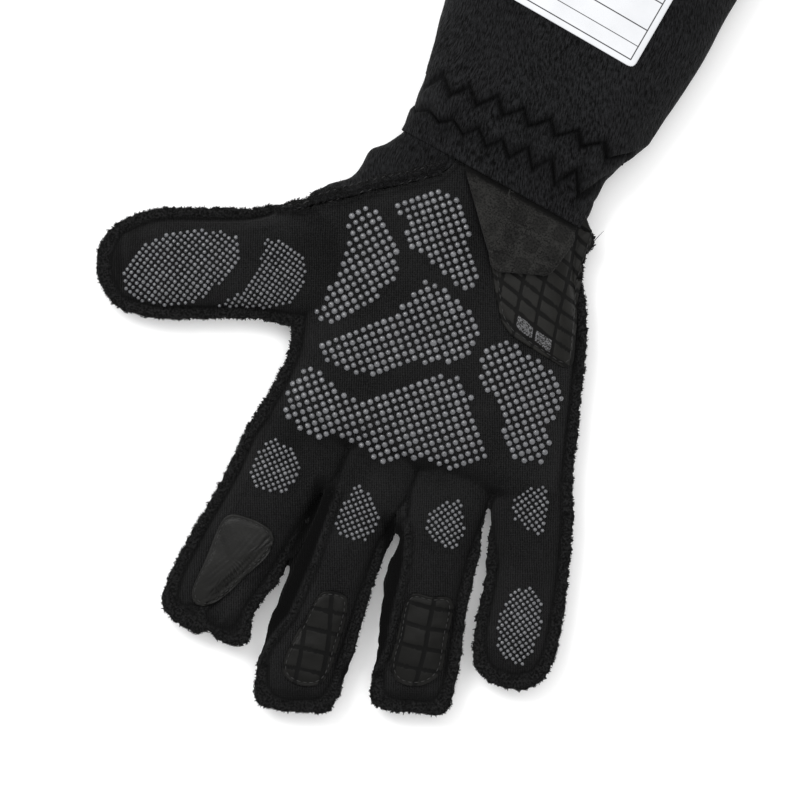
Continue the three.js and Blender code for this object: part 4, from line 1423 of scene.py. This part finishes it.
class GLOVE_OT_wrist_tab(bpy.types.Operator):
    """Make the loose cloth tab at the wrist"""

    bl_idname = "glove.wrist_tab"
    bl_label = "Wrist Tab"

    def execute(self, context):
        sizes = context.scene.glove_patches
        under = surface_of("palm_cloth", "heel_leather")
        outline = rounded_outline(TAB, 2.4, 200)

        def relief(plan, inward):
            free = smoothstep(78, 50, plan[:, 1])
            curl = free * (1.1 * smoothstep(9, 0, inward) + 0.5)
            high = curl + layers(plan, (0.35, 17, 61), (0.12, 6, 62)) + 0.3
            sunk = smoothstep(-5.5, -1.5, past_cuff(plan))
            return high * (1 - sunk) - sunk

        piece, plan = build_patch("tab_cloth", outline, 26, under, 2 * PATCH_OFF, sizes.tab_thick, relief)
        # Painted shade where the tab goes under the cuff's front edge
        mark(piece, crease=0.9 * smoothstep(-2.6, -1.2, past_cuff(plan)))
        finish_piece(piece, tab_finish(sizes.tab, 7.8, 0.62), "tab_cloth", "wrist_tab")
        return {"FINISHED"}


class GLOVE_OT_label(bpy.types.Operator):
    """Make the bare ruled label on the cuff"""

    bl_idname = "glove.label"
    bl_label = "Label"

    def execute(self, context):
        sizes = context.scene.glove_patches
        half = np.array([LABEL["wide"], LABEL["long"]]) / 2
        corners = half * np.array([(-1, -1), (1, -1), (1, 1), (-1, 1)])
        corners = np.stack(turned(corners, -math.radians(LABEL["turn"])), axis=1)
        outline = rounded_outline(corners + (LABEL["x"], LABEL["y"]), LABEL["corner"], 200)
        piece, _ = build_patch("label_cloth", outline, 16, surface_of("cuff_cloth"), 0.15, 0.35)
        finish_piece(piece, label_finish(sizes.label, sizes.ink), "label_cloth", "cuff_label")
        return {"FINISHED"}


class GLOVE_OT_stitches(bpy.types.Operator):
    """Sew the gathers and the seam across the thumb's root"""

    bl_idname = "glove.stitches"
    bl_label = "Stitches"

    def execute(self, context):
        template = stitch_template()
        hand = surface_of("back_cloth", "palm_cloth")
        rows = [np.array(WRIST_SEAM) + SEAM_AIM * off for off in (0.5, 3.9)]
        sewn = sew("seam_stitches", rows, hand, 1.6, 1.2, 0.36, 0.05, template, slant=0.3)
        finish_piece(sewn, bpy.data.materials["thread"], "knit")
        marks = np.linspace(0, TURNS, TURNS * 3 + 1)
        gap = 0.12 * (marks[1] - marks[0])
        ends = [[on_gather(turn, row) for turn in (a + gap, b - gap)]
                for row in range(len(GATHER_ROWS)) for a, b in zip(marks[:-1], marks[1:])]
        first, second = np.array(ends).transpose(1, 0, 2)
        places, along = (first[:, :3] + second[:, :3]) / 2, second[:, :3] - first[:, :3]
        up = (places - second[:, 3:]) * (1, 0, 1)
        places += 0.15 * up / np.linalg.norm(up, axis=1, keepdims=True)
        scales = np.c_[np.linalg.norm(along, axis=1), np.full((len(along), 2), 0.5)]
        sewn = stamp("gather_stitches", template, places, frames_along(up, along), scales)
        # Painted shade: the gather stitches are coloured dark like the shaded valleys they lie in
        store(sewn, "crease", np.full(len(sewn.data.vertices), 0.7))
        finish_piece(sewn, bpy.data.materials["cuff_knit"], "brushed_knit")
        bpy.data.objects.remove(template)
        return {"FINISHED"}


class GLOVE_OT_fibres(bpy.types.Operator):
    """Scatter loose fibres over the raw seam edges"""

    bl_idname = "glove.fibres"
    bl_label = "Fibres"

    def execute(self, context):
        rng = np.random.default_rng(5)
        strand = strand_template()
        count = context.scene.glove_cloth.fibres
        spots, facing = raw_edges("palm_cloth", "back_cloth")
        edge = 0.3 + 0.7 * (np.abs(facing[:, 2]) < 0.75)
        chosen = rng.choice(len(spots), size=count, p=edge / edge.sum())
        spots, facing = spots[chosen], facing[chosen]
        aim = facing + 0.9 * rng.standard_normal(facing.shape)
        turns = frames_along(aim, rng.standard_normal(aim.shape))
        tuft = rng.random(count) < TUFT_SHARE
        length, width = (
            np.where(tuft, *(least + more * rng.random(count) for least, more in sizes))
            for sizes in ((TUFT_LENGTH, HAIR_LENGTH), (TUFT_WIDTH, HAIR_WIDTH))
        )
        loose = int(np.argmin(np.hypot(*(spots[:, :2] - LOOSE_THREAD["at"]).T)))
        turns[loose] = frames_along(np.array([LOOSE_THREAD["aim"]]), np.array([[1.0, 0.0, 0.0]]))[0]
        length[loose], width[loose] = LOOSE_THREAD["length"], LOOSE_THREAD["width"]
        piece = stamp("seam_fibres", strand, spots - facing * 0.15, turns, np.c_[width, width, length])
        finish_piece(piece, bpy.data.materials["rib_knit"], "knit")
        store(piece, "pile", np.ones(len(piece.data.vertices)))
        bpy.data.objects.remove(strand)
        return {"FINISHED"}


class GLOVE_OT_stage(bpy.types.Operator):
    """Set up the floor, the light and the camera"""

    bl_idname = "glove.stage"
    bl_label = "Stage"

    def execute(self, context):
        stage = context.scene.glove_stage
        floor = started(bpy.ops.mesh.primitive_plane_add, size=8.0)
        floor.name = "floor"
        made = Finish("floor_paper")
        glow = {"emission_color": (1, 1, 1, 1), "emission_strength": stage.glow}
        floor.data.materials.append(made.surface(tuple(stage.floor), 0.9, specular_ior_level=0.0, **glow))
        world = bpy.data.worlds.new("studio")
        world.use_nodes = True
        sky = world.node_tree.nodes["Background"].inputs
        sky["Color"].default_value = (1, 1, 1, 1)
        sky["Strength"].default_value = stage.fill
        context.scene.world = world
        context.scene.view_settings.view_transform = "Standard"
        aim = Vector(PHOTO_MIDDLE)
        left = Vector((-math.cos(PHOTO_TURN), -math.sin(PHOTO_TURN), 0))
        up = Vector((-math.sin(PHOTO_TURN), math.cos(PHOTO_TURN), 0))
        for name, (leftward, upward, high), size, power in LIGHTS:
            place = aim + left * leftward + up * upward + Vector((0, 0, high))
            data = bpy.data.lights.new(name, "AREA")
            data.size = size
            data.energy = stage.key * power
            light = linked(name, data)
            light.location = place
            light.rotation_mode = "QUATERNION"
            light.rotation_quaternion = (aim - place).to_track_quat("-Z", "Y")
            light.visible_camera = False
        data = bpy.data.cameras.new("camera")
        data.sensor_width = FILM
        data.lens = FILM * stage.distance / (stage.view * MM)
        camera = linked("camera", data)
        camera.location = aim + Vector((0, 0, stage.distance))
        camera.rotation_euler = (0, 0, PHOTO_TURN)
        context.scene.camera = camera
        return {"FINISHED"}


class GLOVE_PT_panel(bpy.types.Panel):
    """The glove's sizes and pieces in the sidebar"""

    bl_idname = "GLOVE_PT_panel"
    bl_label = "Racing Glove"
    bl_space_type = "VIEW_3D"
    bl_region_type = "UI"
    bl_category = "Glove"

    def draw(self, context):
        for name in SETTINGS:
            group = getattr(context.scene, name)
            box = self.layout.box()
            for key in group.__annotations__:
                box.prop(group, key)
        for operator in OPERATORS:
            self.layout.operator(operator.bl_idname)


SETTINGS = {
    "glove_cloth": GloveCloth,
    "glove_print": GlovePrint,
    "glove_patches": GlovePatches,
    "glove_stage": GloveStage,
}
OPERATORS = (
    GLOVE_OT_hand_cloth,
    GLOVE_OT_cuff,
    GLOVE_OT_grip_prints,
    GLOVE_OT_tip_patches,
    GLOVE_OT_heel_patch,
    GLOVE_OT_wrist_tab,
    GLOVE_OT_label,
    GLOVE_OT_stitches,
    GLOVE_OT_fibres,
    GLOVE_OT_stage,
)


def register():
    for made in (*SETTINGS.values(), *OPERATORS, GLOVE_PT_panel):
        bpy.utils.register_class(made)
    for name, group in SETTINGS.items():
        setattr(bpy.types.Scene, name, PointerProperty(type=group))


def unregister():
    for name in SETTINGS:
        delattr(bpy.types.Scene, name)
    for made in reversed((*SETTINGS.values(), *OPERATORS, GLOVE_PT_panel)):
        bpy.utils.unregister_class(made)


def main():
    register()
    for operator in OPERATORS:
        group, name = operator.bl_idname.split(".")
        getattr(getattr(bpy.ops, group), name)()


if __name__ == "__main__":
    main()
